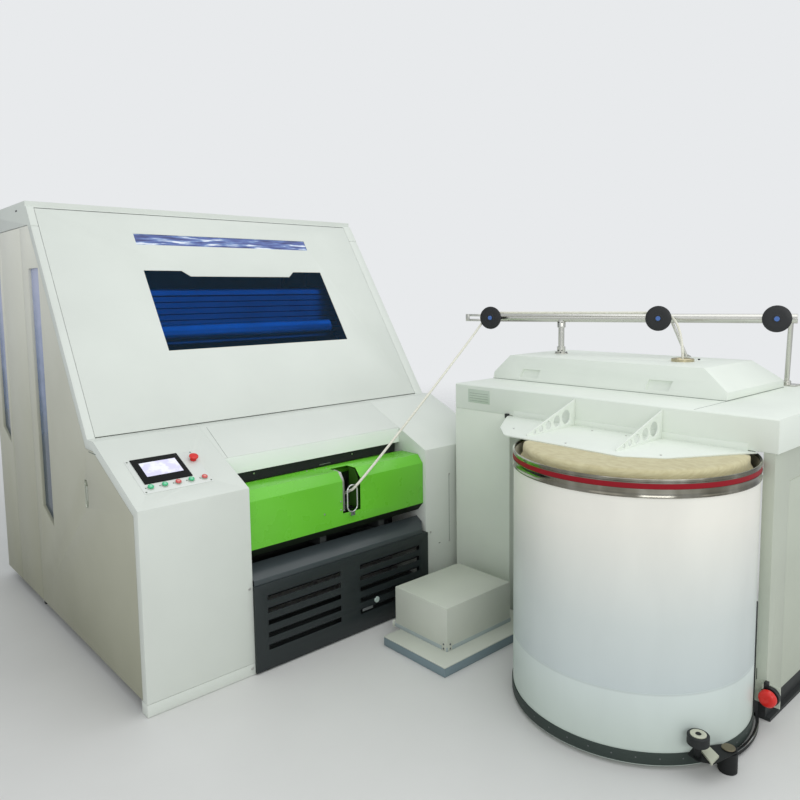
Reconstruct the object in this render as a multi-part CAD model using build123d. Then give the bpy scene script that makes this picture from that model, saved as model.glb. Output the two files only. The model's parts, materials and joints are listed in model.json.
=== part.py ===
# Carding machine with its sliver coiler and one full can.
# Millimetres, +Z up. The card's front left bottom corner is the model's zero while
# it is drawn: X runs along the card's front, Y towards its back. On export all of it
# moves so that the zero is under the middle of the whole machine.
import math
import os

from build123d import *

os.makedirs("parts", exist_ok=True)

# Overall sizes
CARD_WIDTH = 2200.0
CARD_DEPTH = 2240.0
SHEET = 3.0
RETURN = 25.0
HOOD_RETURN = 11.0
SEAM = 2.0
PANEL_BOTTOM = 60.0
LEFTMOST, RIGHTMOST = 0.0, 3050.0
FRONTMOST, REARMOST = -1869.0, CARD_DEPTH

# Card outline seen from its side, as points (Y, Z)
FOLD = (0.0, 913.0)
LEDGE_FRONT = (491.0, 1140.0)
LEDGE_BACK = (574.0, 1140.0)
HOOD_TOP = (1329.0, 2302.0)
ROOF_TOP = 2332.0
LIP_FRONT = 1346.0
BAND_BOTTOM = 2201.0

# Card front
TOWER = 529.0
TOWER_WALL_DEPTH = 300.0
STRIP_LEFT = 38.0
STRIP_RIGHT = 66.0
SIDE_BAND = 47.0
DOOR_TOP = 1375.0
HINGE_S = 1369.0
HINGE_DEPTH = 6.0
PIN_R = 4.0
FIT = 0.05

# Working parts: centre (Y, Z) and radius
CYLINDER = (1150.0, 1150.0)
CYLINDER_R = 407.0
DOFFER = (558.0, 863.0)
DOFFER_R = 250.0
LICKER = (1631.0, 920.0)
LICKER_R = 125.0
ROLL_X0, ROLL_X1 = 400.0, 1800.0
FRAME_IN, FRAME_OUT = 370.0, 330.0
SHAFT_R = 40.0
BRUSH = (954.0, 1596.0)
BRUSH_R = 60.0
BRUSH_SHAFT_R = 12.0

# Flats: gap over the cylinder, bar section and the loop's four pulleys
FLAT_GAP = 5.0
FLAT_WIDE, FLAT_THICK = 30.0, 12.0
FLAT_PLAY = 0.3
FLAT_PITCH = 36.0
BELT = 6.0
LOOP_R = 30.0
LOOP_CENTRES = ((1560.0, 1470.0), (1480.0, 1805.0), (1120.0, 1805.0), (1069.0, 1608.0))

# Delivery
COVER_X0, COVER_X1 = 532.0, 1668.0
COVER_FRONT, COVER_BACK = 20.0, 238.0
COVER_LOW, COVER_HIGH = 557.0, 884.0
COVER_BEVEL_Y, COVER_BEVEL_Z = 40.0, 46.0
SLOT_X0, SLOT_X1 = 1089.0, 1207.0
SLOT_LOW, SLOT_DEEP = 665.0, 135.0
CALENDER_R = 38.0
CALENDER_X, CALENDER_Y = 1150.0, 190.0
CALENDER_GAP = 0.6
PLATFORM = 650.0

# Coiler
FASCIA = 1885.0
TABLE_LOW, TABLE_HIGH = 1142.0, 1285.0
COILER_Y0, COILER_Y1 = -1819.0, -37.0
CABINET_Y0 = -440.0
STAND_Y0, STAND_Y1 = -1808.0, -1762.0
FLOOR_PLATE = 15.0
COILER_CENTRE = (2516.0, -1094.0)
COILER_R = 338.5
TURNTABLE_R = 380.0
LID_TOP = 1430.0
LID_RIM = 1325.0

# Can
CAN = (1649.0, -1308.0)
CAN_R = 508.0
CAN_WALL = 3.0
CAN_SKIN_R = CAN_R - 5.0
CAN_RIM = 1122.0

# Guide bar and its pulleys
BAR_FROM = (2380.0, 80.0)
BAR_TURN = 19.1
BAR_Z, BAR_R = 1648.0, 25.0
PULLEY_OUT, PULLEY_UP = 57.0, 2.0
PULLEY_R, GROOVE_R = 70.0, 22.0
PULLEY_ALONG = (0.0, 999.0, 1585.0)
AXLE_R = 8.0
SLIVER_R = 7.0

SHIFT = Pos(-(LEFTMOST + RIGHTMOST) / 2, -(FRONTMOST + REARMOST) / 2, 0)


def save(name, *pieces):
    """Write one named node, moved to the shared zero, as one solid or a group."""
    solids = [solid for piece in pieces for solid in (SHIFT * piece).solids()]
    export_step(solids[0] if len(solids) == 1 else Compound(solids), f"parts/{name}.step")


def block(x0, x1, y0, y1, z0, z1):
    """A plain box between two corners."""
    middle = Pos((x0 + x1) / 2, (y0 + y1) / 2, (z0 + z1) / 2)
    return middle * Box(abs(x1 - x0), abs(y1 - y0), abs(z1 - z0))


def raised(plane, points, height):
    """A shape drawn on a plane as a list of points, raised to a height over it."""
    face = plane * make_face(Polyline(*points, close=True))
    return extrude(face, height, dir=plane.z_dir)


def side_shape(points, x0, x1):
    """A shape drawn from the card's side as (Y, Z) and run from x0 to x1."""
    return raised(Plane.YZ.offset(x0), points, x1 - x0)


def plan_shape(points, z0, z1):
    """A shape drawn from above as (X, Y) and run from z0 to z1."""
    return raised(Plane.XY.offset(z0), points, z1 - z0)


def rod(start, end, radius):
    """A round bar from one point to another."""
    line = Vector(*end) - Vector(*start)
    return extrude(Plane(origin=start, z_dir=line) * Circle(radius), line.length)


def disc(centre, radius, z0, z1):
    """An upright cylinder over the plan point centre."""
    return rod((*centre, z0), (*centre, z1), radius)


def ring(centre, outer, inner, z0, z1):
    """An upright ring over the plan point centre."""
    return disc(centre, outer, z0, z1) - disc(centre, inner, z0, z1)


def roller(centre, radius, x0, x1):
    """A cylinder along X round the side point centre."""
    return rod((x0, *centre), (x1, *centre), radius)


def thick_line(points, thickness):
    """The (Y, Z) outline of a folded sheet lying inside the line of points."""
    inner = []
    for i, point in enumerate(points):
        a = Vector(*points[max(i - 1, 0)]) - Vector(*points[max(i - 1, 0) + 1])
        b = Vector(*points[min(i, len(points) - 2)]) - Vector(*points[min(i, len(points) - 2) + 1])
        na = Vector(-a.Y, a.X).normalized()
        nb = Vector(-b.Y, b.X).normalized()
        push = (na + nb) * (thickness / (1 + na.dot(nb)))
        inner.append((point[0] + push.X, point[1] + push.Y))
    return list(points) + inner[::-1]


def leaning(origin, end):
    """The plane of a sloping sheet: x along X, y up the slope, z outwards."""
    slope = Vector(0, end[0] - origin[0], end[1] - origin[1]).normalized()
    outward = Vector(1, 0, 0).cross(slope)
    return Plane(origin=(0, *origin), x_dir=(1, 0, 0), z_dir=outward)


HOOD = leaning(LEDGE_BACK, HOOD_TOP)
HOOD_LENGTH = math.dist(LEDGE_BACK, HOOD_TOP)
CONSOLE = leaning(FOLD, LEDGE_FRONT)


def on_slope(plane, points, low, high):
    """A shape drawn on a sloping sheet as (X, s), between two heights above it."""
    return raised(plane.offset(low), points, high - low)


def oblong(x0, x1, s0, s1):
    return [(x0, s0), (x1, s0), (x1, s1), (x0, s1)]


def slope_rod(plane, x, s, low, high, radius):
    return extrude(plane.offset(low) * Pos(x, s) * Circle(radius), high - low)


def pan(outline, plane, depth=RETURN):
    """A sheet with its edges folded back; the plane looks into the machine."""
    face = make_face(Polyline(*outline, close=True)) if isinstance(outline, list) else outline
    edges = face - offset(face, -SHEET, kind=Kind.INTERSECTION)
    sheet = extrude(plane * face, SHEET, dir=plane.z_dir)
    return sheet + extrude(plane * edges, depth, dir=plane.z_dir)


def mirrored(shape):
    """The same shape on the card's right half."""
    return mirror(shape, Plane.YZ.offset(CARD_WIDTH / 2))


# Base: two rails, three cross members, and the lug with the side door's lower pin
RAIL_LOW, RAIL_HIGH = 30.0, 160.0
DOOR_BACK = 1478.0
DOOR_AXIS = (8.0, 1468.0)
DOOR_LOW, DOOR_HIGH = PANEL_BOTTOM + SEAM, BAND_BOTTOM - SHEET

base = block(30, 150, PANEL_BOTTOM, 2200, RAIL_LOW, RAIL_HIGH)
base += block(CARD_WIDTH - 150, CARD_WIDTH - 30, PANEL_BOTTOM, 2200, RAIL_LOW, RAIL_HIGH)
for y in (80, 1100, 2080):
    base += block(150, CARD_WIDTH - 150, y, y + 100, RAIL_LOW, RAIL_HIGH)
base += block(2, 30, DOOR_AXIS[1] - 14, DOOR_AXIS[1] + 12, RAIL_LOW + 12, DOOR_LOW - 4)
base += disc(DOOR_AXIS, PIN_R, DOOR_LOW - 4, DOOR_LOW + 10)
for y in (1500, 1870, 1930, 2180):
    clip = block(SHEET, 30, y, y + 20, RAIL_HIGH - 60, RAIL_HIGH)
    base += clip + mirrored(clip)
base += mirrored(block(SHEET, 30, 700, 720, RAIL_HIGH - 60, RAIL_HIGH))
save("base_frame", base)

feet = []
for x in (90, CARD_WIDTH - 90):
    for y in (458, 1300, 2100):
        foot = disc((x, y), 40, 0, 10) + disc((x, y), 12, 10, RAIL_LOW)
        nut = Pos(x, y, 18) * extrude(RegularPolygon(20, 6), 12)
        feet.append(foot + nut)
save("levelling_feet", *feet)

kick = block(0, TOWER, 0, PANEL_BOTTOM, 2, PANEL_BOTTOM - SEAM)

# Side frames, which carry every roller, with the bend that the flats slide on
FRAME_OUTLINE = [(100, 160), (2160, 160), (2160, 800), (1600, 1870), (1080, 1870), (100, 360)]
BEND_R = CYLINDER_R + FLAT_GAP
plate = side_shape(FRAME_OUTLINE, FRAME_OUT, FRAME_IN)
for centre, radius in (((420, 330), 100), ((800, 430), 150), ((1300, 400), 150), ((1800, 450), 150)):
    plate -= roller(centre, radius, FRAME_OUT - 1, FRAME_IN + 1)
for centre in (CYLINDER, DOFFER, LICKER):
    plate -= roller(centre, SHAFT_R + 15, FRAME_OUT - 1, FRAME_IN + 1)
plate -= roller(BRUSH, BRUSH_SHAFT_R + FIT, FRAME_OUT - 1, FRAME_IN + 1)
bend = roller(CYLINDER, BEND_R, FRAME_IN, FRAME_IN + 20)
bend -= roller(CYLINDER, BEND_R - 30, FRAME_IN, FRAME_IN + 20)
fan = [CYLINDER] + [
    (CYLINDER[0] + 600 * math.cos(math.radians(a)), CYLINDER[1] + 600 * math.sin(math.radians(a)))
    for a in (34, 74, 114)
]
plate += bend & side_shape(fan, FRAME_IN, FRAME_IN + 20)

housings = []
for centre in (CYLINDER, DOFFER, LICKER):
    y, z = centre
    housing = block(FRAME_OUT - 24, FRAME_OUT, y - 75, y + 75, z - 75, z + 75)
    housing = chamfer(housing.edges().filter_by(Axis.X), 18)
    housing += roller(centre, 62, FRAME_OUT - 44, FRAME_OUT - 24)
    for dy, dz in ((-55, -55), (-55, 55), (55, -55), (55, 55)):
        housing += roller((y + dy, z + dz), 9, FRAME_OUT - 34, FRAME_OUT - 24)
    housing -= roller(centre, SHAFT_R + FIT, FRAME_OUT - 50, FRAME_OUT + 1)
    housings.append(housing)
save("side_frame_left", plate, *housings)
save("side_frame_right", *[mirrored(part) for part in (plate, *housings)])


def drum(centre, radius, shaft_r):
    """A roller with dished ends on its shaft."""
    body = roller(centre, radius, ROLL_X0, ROLL_X1)
    if radius > 200:
        for x0, x1 in ((ROLL_X0 - 1, ROLL_X0 + 80), (ROLL_X1 - 80, ROLL_X1 + 1)):
            body -= roller(centre, radius - 30, x0, x1) - roller(centre, shaft_r + 40, x0, x1)
    return body + roller(centre, shaft_r, FRAME_OUT - 54, CARD_WIDTH - FRAME_OUT + 54)


save("main_cylinder", drum(CYLINDER, CYLINDER_R, SHAFT_R))
save("doffer", drum(DOFFER, DOFFER_R, SHAFT_R))
save("licker_in", drum(LICKER, LICKER_R, SHAFT_R))

brush = roller(BRUSH, BRUSH_R, ROLL_X0 - 10, CARD_WIDTH - 511)
brush += roller(BRUSH, BRUSH_SHAFT_R, FRAME_OUT - 10, CARD_WIDTH - FRAME_OUT + 10)
save("flats_brush", brush)


# Flats: a belt at each end goes round four pulleys and back over the cylinder
def loop_path(reach):
    """The closed run round the pulleys, reach outside the belt's inner face."""
    rounds = [(c, LOOP_R + reach) for c in LOOP_CENTRES]
    rounds.append((CYLINDER, -(BEND_R + FLAT_THICK + 2 * FLAT_PLAY + BELT - reach)))
    ends = []
    for (c1, r1), (c2, r2) in zip(rounds, rounds[1:] + rounds[:1]):
        d = Vector(c2[0] - c1[0], c2[1] - c1[1])
        lean = (r1 - r2) / d.length
        along, across = d.normalized(), Vector(d.Y, -d.X).normalized()
        n = along * lean + across * math.sqrt(1 - lean * lean)
        ends.append((Vector(*c1) + n * r1, Vector(*c2) + n * r2))
    edges = []
    for i, (c, r) in enumerate(rounds):
        start, stop = ends[i - 1][1], ends[i][0]
        middle = (start + stop) * 0.5 - Vector(*c)
        top = Vector(*c) + middle.normalized() * abs(r)
        edges.append(ThreePointArc(start, top, stop))
        edges.append(Line(stop, ends[i][1]))
    return Wire(edges)


belt_face = make_face(loop_path(BELT)) - make_face(loop_path(0))
belt = extrude(Plane.YZ.offset(FRAME_IN + 22) * belt_face, 20)
drive = [belt, mirrored(belt)]
for centre in LOOP_CENTRES:
    wheel = roller(centre, 14, FRAME_IN, CARD_WIDTH - FRAME_IN)
    wheel += roller(centre, LOOP_R - 0.3, FRAME_IN + 18, FRAME_IN + 46)
    wheel += roller(centre, LOOP_R - 0.3, CARD_WIDTH - FRAME_IN - 46, CARD_WIDTH - FRAME_IN - 18)
    drive.append(wheel)
save("flats_drive", *drive)

run = loop_path(BELT + FLAT_PLAY + FLAT_THICK / 2)
count = int(run.length / FLAT_PITCH)
flat = Box(CARD_WIDTH - 2 * FRAME_IN - 4, FLAT_WIDE, FLAT_THICK)
flats = []
for i in range(count):
    at, way = run.position_at(i / count), run.tangent_at(i / count)
    turn = math.degrees(math.atan2(way.Y, way.X))
    flats.append(Pos(CARD_WIDTH / 2, at.X, at.Y) * Rot(turn, 0, 0) * flat)
save("flat_bars", *flats)

# Delivery: a beam between the side frames carries the cover and the calender rolls
beam = block(FRAME_IN, CARD_WIDTH - FRAME_IN, 303, 383, 440, 540)
for x in (980, 1380):
    beam += block(x, x + 40, 81, 303, 500, COVER_LOW)


def octagon(grow):
    """The cover's end outline, moved in by grow."""
    f, b = COVER_FRONT + grow, COVER_BACK - grow
    lo, hi = COVER_LOW + grow, COVER_HIGH - grow
    k = grow * 0.41
    y, z = COVER_BEVEL_Y - k, COVER_BEVEL_Z - k
    return [(f, lo + z), (f + y, lo), (b - y, lo), (b, lo + z),
            (b, hi - z), (b - y, hi), (f + y, hi), (f, hi - z)]


cover = side_shape(octagon(0), COVER_X0, COVER_X1)
cover -= side_shape(octagon(SHEET), COVER_X0 + SHEET, COVER_X1 - SHEET)
cover -= block(SLOT_X0, SLOT_X1, COVER_FRONT - 1, SLOT_DEEP, SLOT_LOW, COVER_HIGH + 1)
cover -= block(COVER_X0 + 60, COVER_X1 - 60, COVER_BACK - SHEET - 1, COVER_BACK + 1, 640, 820)
save("green_cover", cover)

stand = block(1060, 1240, 120, 228, PLATFORM - 10, PLATFORM)
for x in (1070, 1210):
    stand += block(x, x + 20, 130, 190, COVER_LOW + SHEET, PLATFORM - 10)
stand += block(1075, 1112, 124, 127, PLATFORM, COVER_HIGH - SHEET - 2)
CALENDER_CENTRES = [
    (CALENDER_X + side * (CALENDER_R + CALENDER_GAP / 2), CALENDER_Y) for side in (-1, 1)
]
for centre, name in zip(CALENDER_CENTRES, ("calender_roll_left", "calender_roll_right")):
    stand -= disc(centre, 10 + FIT, PLATFORM - 11, PLATFORM + 1)
    roll = disc(centre, CALENDER_R, PLATFORM + 4, 735) + disc(centre, 10, PLATFORM - 10, 742)
    save(name, roll)
save("delivery_beam", beam, stand)

# The wire eye that the sliver is drawn through
EYE_X, EYE_Y, EYE_LOW, EYE_HIGH, EYE_HALF, WIRE_R = 1141.0, 6.0, 668.0, 811.0, 32.0, 4.0
eye_path = Plane.XZ.offset(-EYE_Y) * Pos(EYE_X, (EYE_LOW + EYE_HIGH) / 2)
eye_path *= SlotOverall(EYE_HIGH - EYE_LOW, 2 * EYE_HALF, rotation=90).wire()
eye_start = Plane(origin=eye_path.position_at(0), z_dir=eye_path.tangent_at(0))
eye = sweep(eye_start * Circle(WIRE_R), path=eye_path)
eye += block(EYE_X - 14, EYE_X + 14, 2, COVER_FRONT, EYE_LOW - 20, EYE_LOW)
save("wire_eye", eye)

# Shelf and louvred panel between the towers
SHELF_LOW = 436.0
shelf_line = [(78, 515), (-7, 462), (-7, SHELF_LOW)]
shelf = side_shape(thick_line(shelf_line, SHEET), COVER_X0, COVER_X1)
corner = [(COVER_X1 - 45, -20), (COVER_X1 + 1, -20), (COVER_X1 + 1, 35)]
shelf -= plan_shape(corner, SHELF_LOW - 1, 520)
save("grey_shelf", shelf)

VENT_FRONT, VENT_LOW = -15.0, 7.0
vent = block(TOWER, CARD_WIDTH - TOWER, VENT_FRONT, 80, VENT_LOW, SHELF_LOW)
vent -= block(TOWER + SHEET, CARD_WIDTH - TOWER - SHEET, VENT_FRONT + SHEET, 81,
              VENT_LOW + SHEET, SHELF_LOW - SHEET)
LOUVRE_ROWS = [116.0 + 62.0 * i for i in range(5)]
LOUVRE_HALF = 13.0
for x0, x1 in ((600, 1037), (1167, 1601)):
    for z in LOUVRE_ROWS:
        vent -= block(x0, x1, VENT_FRONT - 1, VENT_FRONT + SHEET + 1, z - LOUVRE_HALF, z + LOUVRE_HALF)
        blade = [(VENT_FRONT + SHEET, z + LOUVRE_HALF + 4), (VENT_FRONT + SHEET, z + LOUVRE_HALF),
                 (VENT_FRONT + 24, z - 6), (VENT_FRONT + 24, z - 2)]
        vent += side_shape(blade, x0, x1)
vent -= block(TOWER + 60, CARD_WIDTH - TOWER - 60, 30, 81, SHELF_LOW - SHEET - 1, SHELF_LOW + 1)
vent += block(1262, 1290, VENT_FRONT - 6, VENT_FRONT, 142, 170)
save("vent_panel", vent)

# Towers: front, sloping console, ledge, hood strip and the band along the side
FRONT_LINE = [(0, PANEL_BOTTOM), FOLD, LEDGE_FRONT, LEDGE_BACK]
STRIP_END = 1254.0


def hood_point(s, depth=0.0):
    p = HOOD.from_local_coords(Vector(0, s, -depth))
    return (p.Y, p.Z)


def tower(strip):
    """A tower at the card's left; strip is the width of its piece of hood."""
    outer = [*FRONT_LINE, hood_point(STRIP_END)]
    body = side_shape(thick_line(FRONT_LINE, SHEET), 0, TOWER)
    body += side_shape(thick_line(outer, SHEET), 0, strip)
    body += side_shape(thick_line(outer, SIDE_BAND), 0, SHEET)
    wall = [(0, PANEL_BOTTOM), FOLD]
    share = TOWER_WALL_DEPTH / LEDGE_FRONT[0]
    wall.append((TOWER_WALL_DEPTH, FOLD[1] + share * (LEDGE_FRONT[1] - FOLD[1])))
    wall.append((TOWER_WALL_DEPTH, RAIL_HIGH))
    wall.append((60, RAIL_HIGH))
    wall.append((60, PANEL_BOTTOM))
    body += side_shape(wall, TOWER - SHEET, TOWER)
    return body + block(RETURN + 5, FRAME_OUT - 4, SHEET, 180, RAIL_HIGH, RAIL_HIGH + SHEET)


# Controls on the left tower's console
PLATE = (72.0, 400.0, 100.0, 350.0)
BEZEL = (96.0, 322.0, 162.0, 348.0)
SCREEN = (125.0, 298.0, 208.0, 312.0)
BUTTON_X = (111.0, 176.0, 239.0, 302.0, 367.0)
BUTTON_S = 134.0
STOP_X, STOP_S = 378.0, 280.0
PLATE_THICK = 2.0
STEM_R, STOP_STEM_R = 6.0, 9.0

tower_left = tower(STRIP_LEFT)
control_plate = on_slope(CONSOLE, oblong(*PLATE), 0, PLATE_THICK)
for x in BUTTON_X:
    control_plate += slope_rod(CONSOLE, x, BUTTON_S, PLATE_THICK, PLATE_THICK + 3, 12)
control_plate += slope_rod(CONSOLE, STOP_X, STOP_S, PLATE_THICK, PLATE_THICK + 12, 15)
for x in (PLATE[0] + 10, PLATE[1] - 10):
    for s in (PLATE[2] + 10, PLATE[3] - 10):
        if not (x < BEZEL[1] and s > BEZEL[2] and x > BEZEL[0]):
            control_plate += slope_rod(CONSOLE, x, s, PLATE_THICK, PLATE_THICK + 1.5, 4)
for x, s, r in [(x, BUTTON_S, STEM_R) for x in BUTTON_X] + [(STOP_X, STOP_S, STOP_STEM_R)]:
    hole = slope_rod(CONSOLE, x, s, -20, 40, r + FIT)
    control_plate -= hole
    tower_left -= hole
save("tower_left", tower_left, kick)
save("control_plate", control_plate)
tower_right = mirrored(tower(STRIP_RIGHT))
save("tower_right", tower_right, mirrored(kick))

display = on_slope(CONSOLE, oblong(*BEZEL), PLATE_THICK, PLATE_THICK + 5)
display -= on_slope(CONSOLE, oblong(*SCREEN), PLATE_THICK + 3, PLATE_THICK + 6)
screen = on_slope(CONSOLE, oblong(*SCREEN), PLATE_THICK + 3, PLATE_THICK + 4)
save("display", display, screen)

BUTTON_TRAVEL = 4.0
for i, x in enumerate(BUTTON_X, 1):
    low = PLATE_THICK + 3 + BUTTON_TRAVEL + 0.5
    button = slope_rod(CONSOLE, x, BUTTON_S, low, low + 5, 11)
    button += slope_rod(CONSOLE, x, BUTTON_S, -12, low, STEM_R)
    save(f"push_button_{i}", button)
low = PLATE_THICK + 12 + 6
stop = slope_rod(CONSOLE, STOP_X, STOP_S, low, low + 12, 24)
stop += slope_rod(CONSOLE, STOP_X, STOP_S, -14, low, STOP_STEM_R)
stop = chamfer(stop.edges().filter_by(GeomType.CIRCLE).group_by(SortBy.RADIUS)[-1][-1], 4)
save("emergency_stop", stop)

# Panel between the towers, with its folded lip over the delivery
centre_line = [(228, 945), (228, 1018.4), LEDGE_FRONT, LEDGE_BACK]
centre_panel = side_shape(thick_line(centre_line, SHEET), TOWER + 0.5, CARD_WIDTH - TOWER - 0.5)
save("centre_panel", centre_panel)

# Hood door with a strip window and a big window
DOOR_X0, DOOR_X1, DOOR_S0 = STRIP_LEFT + SEAM, CARD_WIDTH - STRIP_RIGHT - SEAM, 5.0
STRIP_WINDOW = oblong(542, 1728, 1158, 1235)
BIG_WINDOW = [(536, 449), (1760, 449), (1760, 977), (1543, 977), (1497, 938),
              (811, 938), (764, 977), (536, 977)]
hood_inwards = Plane(origin=HOOD.origin, x_dir=(-1, 0, 0), z_dir=-HOOD.z_dir)
door = pan(oblong(-DOOR_X0, -DOOR_X1, DOOR_S0, DOOR_TOP), hood_inwards, HOOD_RETURN)
for window in (STRIP_WINDOW, BIG_WINDOW):
    door -= on_slope(HOOD, window, -SHEET - 1, 1)
hinge_line = hood_point(HINGE_S, HINGE_DEPTH)
door -= roller(hinge_line, PIN_R + FIT, 0, CARD_WIDTH)
save("hood_door", door)
panes = [
    on_slope(HOOD, oblong(542 - 15, 1728 + 15, 1158 - 15, 1235 + 15), -SHEET - 5, -SHEET),
    on_slope(HOOD, oblong(536 - 15, 1760 + 15, 449 - 15, 977 + 15), -SHEET - 5, -SHEET),
]
save("hood_windows", *panes)

# Roof: a lipped top, a band down each side, and the corners that hold the hood's hinge
LIP = 25.0
roof = block(0, CARD_WIDTH, LIP_FRONT, REARMOST, ROOF_TOP - LIP, ROOF_TOP)
roof -= block(SHEET, CARD_WIDTH - SHEET, LIP_FRONT + SHEET, REARMOST - SHEET,
              ROOF_TOP - LIP - 1, ROOF_TOP - SHEET)
WRAP_START = 1256.0
band_s = (BAND_BOTTOM - hood_point(0, SIDE_BAND)[1]) / HOOD.y_dir.Z
roof_side = [hood_point(WRAP_START), hood_point(HOOD_LENGTH), (LIP_FRONT, HOOD_TOP[1]),
             (LIP_FRONT, ROOF_TOP - LIP), (REARMOST, ROOF_TOP - LIP), (REARMOST, BAND_BOTTOM),
             hood_point(band_s, SIDE_BAND), hood_point(WRAP_START, SIDE_BAND)]
band = side_shape(roof_side, 0, SHEET)
band += block(0, RETURN, DOOR_AXIS[1] - 60, DOOR_AXIS[1] + 60, BAND_BOTTOM, BAND_BOTTOM + SHEET)
roof += band + mirrored(band)
roof += disc(DOOR_AXIS, PIN_R, BAND_BOTTOM - 14, BAND_BOTTOM)
roof += on_slope(HOOD, oblong(0, CARD_WIDTH, 1380, HOOD_LENGTH), -SHEET, 0)
top_line = [hood_point(HOOD_LENGTH), (LIP_FRONT + 10, HOOD_TOP[1])]
roof += side_shape(thick_line(top_line, SHEET), 0, CARD_WIDTH)
roof += block(0, CARD_WIDTH, LIP_FRONT, LIP_FRONT + SHEET, HOOD_TOP[1] - SHEET, ROOF_TOP - LIP + 1)
for x0, x1, fold in ((0, STRIP_LEFT, STRIP_LEFT - SHEET), (CARD_WIDTH - STRIP_RIGHT, CARD_WIDTH,
                                                          CARD_WIDTH - STRIP_RIGHT)):
    roof += on_slope(HOOD, oblong(x0, x1, WRAP_START, HOOD_LENGTH), -SHEET, 0)
    roof += on_slope(HOOD, oblong(x0 + 5, x1 - 5, WRAP_START - 20, WRAP_START + 20), -2 * SHEET, -SHEET)
    roof += on_slope(HOOD, oblong(fold, fold + SHEET, 1340, HOOD_LENGTH), -RETURN, -SHEET)
pin_reach = 14.0
roof += roller(hinge_line, PIN_R, STRIP_LEFT - SHEET, STRIP_LEFT + pin_reach)
roof += roller(hinge_line, PIN_R, CARD_WIDTH - STRIP_RIGHT - pin_reach,
               CARD_WIDTH - STRIP_RIGHT + SHEET)
save("roof", roof)

rear = block(SHEET, CARD_WIDTH - SHEET, REARMOST - SHEET, REARMOST, PANEL_BOTTOM, ROOF_TOP - LIP)
rib = block(RETURN + 1, RETURN + 1 + SHEET, REARMOST - RETURN, REARMOST, PANEL_BOTTOM, BAND_BOTTOM)
save("rear_cover", rear + rib + mirrored(rib))

# Side panels: a door at the left, fixed panels at the rear and at the right
side_outline = make_face(Polyline(
    (0, -400), FOLD, LEDGE_FRONT, LEDGE_BACK, HOOD_TOP, (HOOD_TOP[0], 3000), (4000, 3000),
    (4000, -400), close=True))
inset = offset(side_outline, -(SIDE_BAND + SEAM), kind=Kind.INTERSECTION)
PANEL_BACKS = (1481.5, 1905.0, 1908.0, REARMOST - SHEET)
WINDOW_DEPTH = 15.0


def side_pan(y0, y1):
    middle = Pos((y0 + y1) / 2, (DOOR_LOW + DOOR_HIGH) / 2)
    return pan(inset & (middle * Rectangle(y1 - y0, DOOR_HIGH - DOOR_LOW)), Plane.YZ)


def grown(points, by):
    return offset(make_face(Polyline(*points, close=True)), by, kind=Kind.INTERSECTION)


def windowed(panel, opening):
    """Open a window in a panel and fold its edge inwards."""
    panel += extrude(Plane.YZ * grown(opening, SHEET), WINDOW_DEPTH, dir=(1, 0, 0))
    return panel - side_shape(opening, -1, WINDOW_DEPTH + 1)


def pane(opening):
    face = Plane.YZ.offset(WINDOW_DEPTH) * grown(opening, SHEET)
    return extrude(face, 5, dir=(1, 0, 0))


FRONT_WINDOW = [(1182, 570), (1364, 650), (1364, 1970), (1182, 1970)]
BACK_WINDOW = [(1960, 920), (2130, 1005), (2130, 1975), (1960, 1975)]
HANDLE = [(600, 808), (613, 795), (637, 795), (650, 808), (650, 924), (637, 937), (613, 937), (600, 924)]

side_door = windowed(side_pan(0, DOOR_BACK), FRONT_WINDOW)
side_door -= side_shape(HANDLE, -1, SHEET + 1)
side_door -= disc(DOOR_AXIS, PIN_R + FIT, 0, 3000)
save("side_door_left", side_door)
save("side_window_left", pane(FRONT_WINDOW))

cup = side_shape(HANDLE, 0, 22)
cup -= extrude(Plane.YZ.offset(-1) * grown(HANDLE, -2), 21, dir=(1, 0, 0))
cup += block(2, 20, 616, 634, 830, 902)
save("door_handle_left", cup)

rear_panels = [side_pan(PANEL_BACKS[0], PANEL_BACKS[1]), side_pan(PANEL_BACKS[2], PANEL_BACKS[3])]
right_panels = [mirrored(panel) for panel in (side_pan(0, DOOR_BACK), *rear_panels)]
rear_panels[1] = windowed(rear_panels[1], BACK_WINDOW)
save("rear_panels_left", *rear_panels, pane(BACK_WINDOW))
save("side_panels_right", *right_panels)

# Coiler stand, cabinet and table
floor = block(FASCIA + 20, RIGHTMOST, STAND_Y0 - 12, CABINET_Y0 - 5, 0, FLOOR_PLATE)
floor += disc(CAN, 440, 0, FLOOR_PLATE)
floor += block(FASCIA + 20, RIGHTMOST, STAND_Y0 + 8, STAND_Y1 - 8, FLOOR_PLATE, 82)
save("coiler_floor", floor)

coiler_stand = block(FASCIA, 2045, STAND_Y0, STAND_Y1, 82, TABLE_LOW)
coiler_stand += block(2045, 2050, STAND_Y0 + 5, STAND_Y1 - 5, 82, TABLE_LOW)
coiler_stand += block(2050, RIGHTMOST - 10, STAND_Y0 + 2, STAND_Y1, 90, 1000)
coiler_stand += block(2050, RIGHTMOST, STAND_Y0 + 6, STAND_Y1 - 4, 82, TABLE_LOW)
coiler_stand += block(FASCIA - 6, FASCIA, -1864, STAND_Y1 - 2, 86, 175)

cabinet = block(FASCIA, RIGHTMOST, CABINET_Y0, COILER_Y1, 0, TABLE_LOW)
cabinet += block(1950, 2150, COILER_Y1, 0, 200, 500)
save("coiler_cabinet", cabinet)

head = block(FASCIA, RIGHTMOST, COILER_Y0, COILER_Y1, TABLE_LOW, TABLE_HIGH)
head = chamfer(head.edges().filter_by(Axis.Y).group_by(Axis.Z)[-1].sort_by(Axis.X)[0], 6)
head -= disc(COILER_CENTRE, COILER_R + 0.5, TABLE_LOW - 1, TABLE_HIGH + 1)
save("coiler_head", head)

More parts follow.
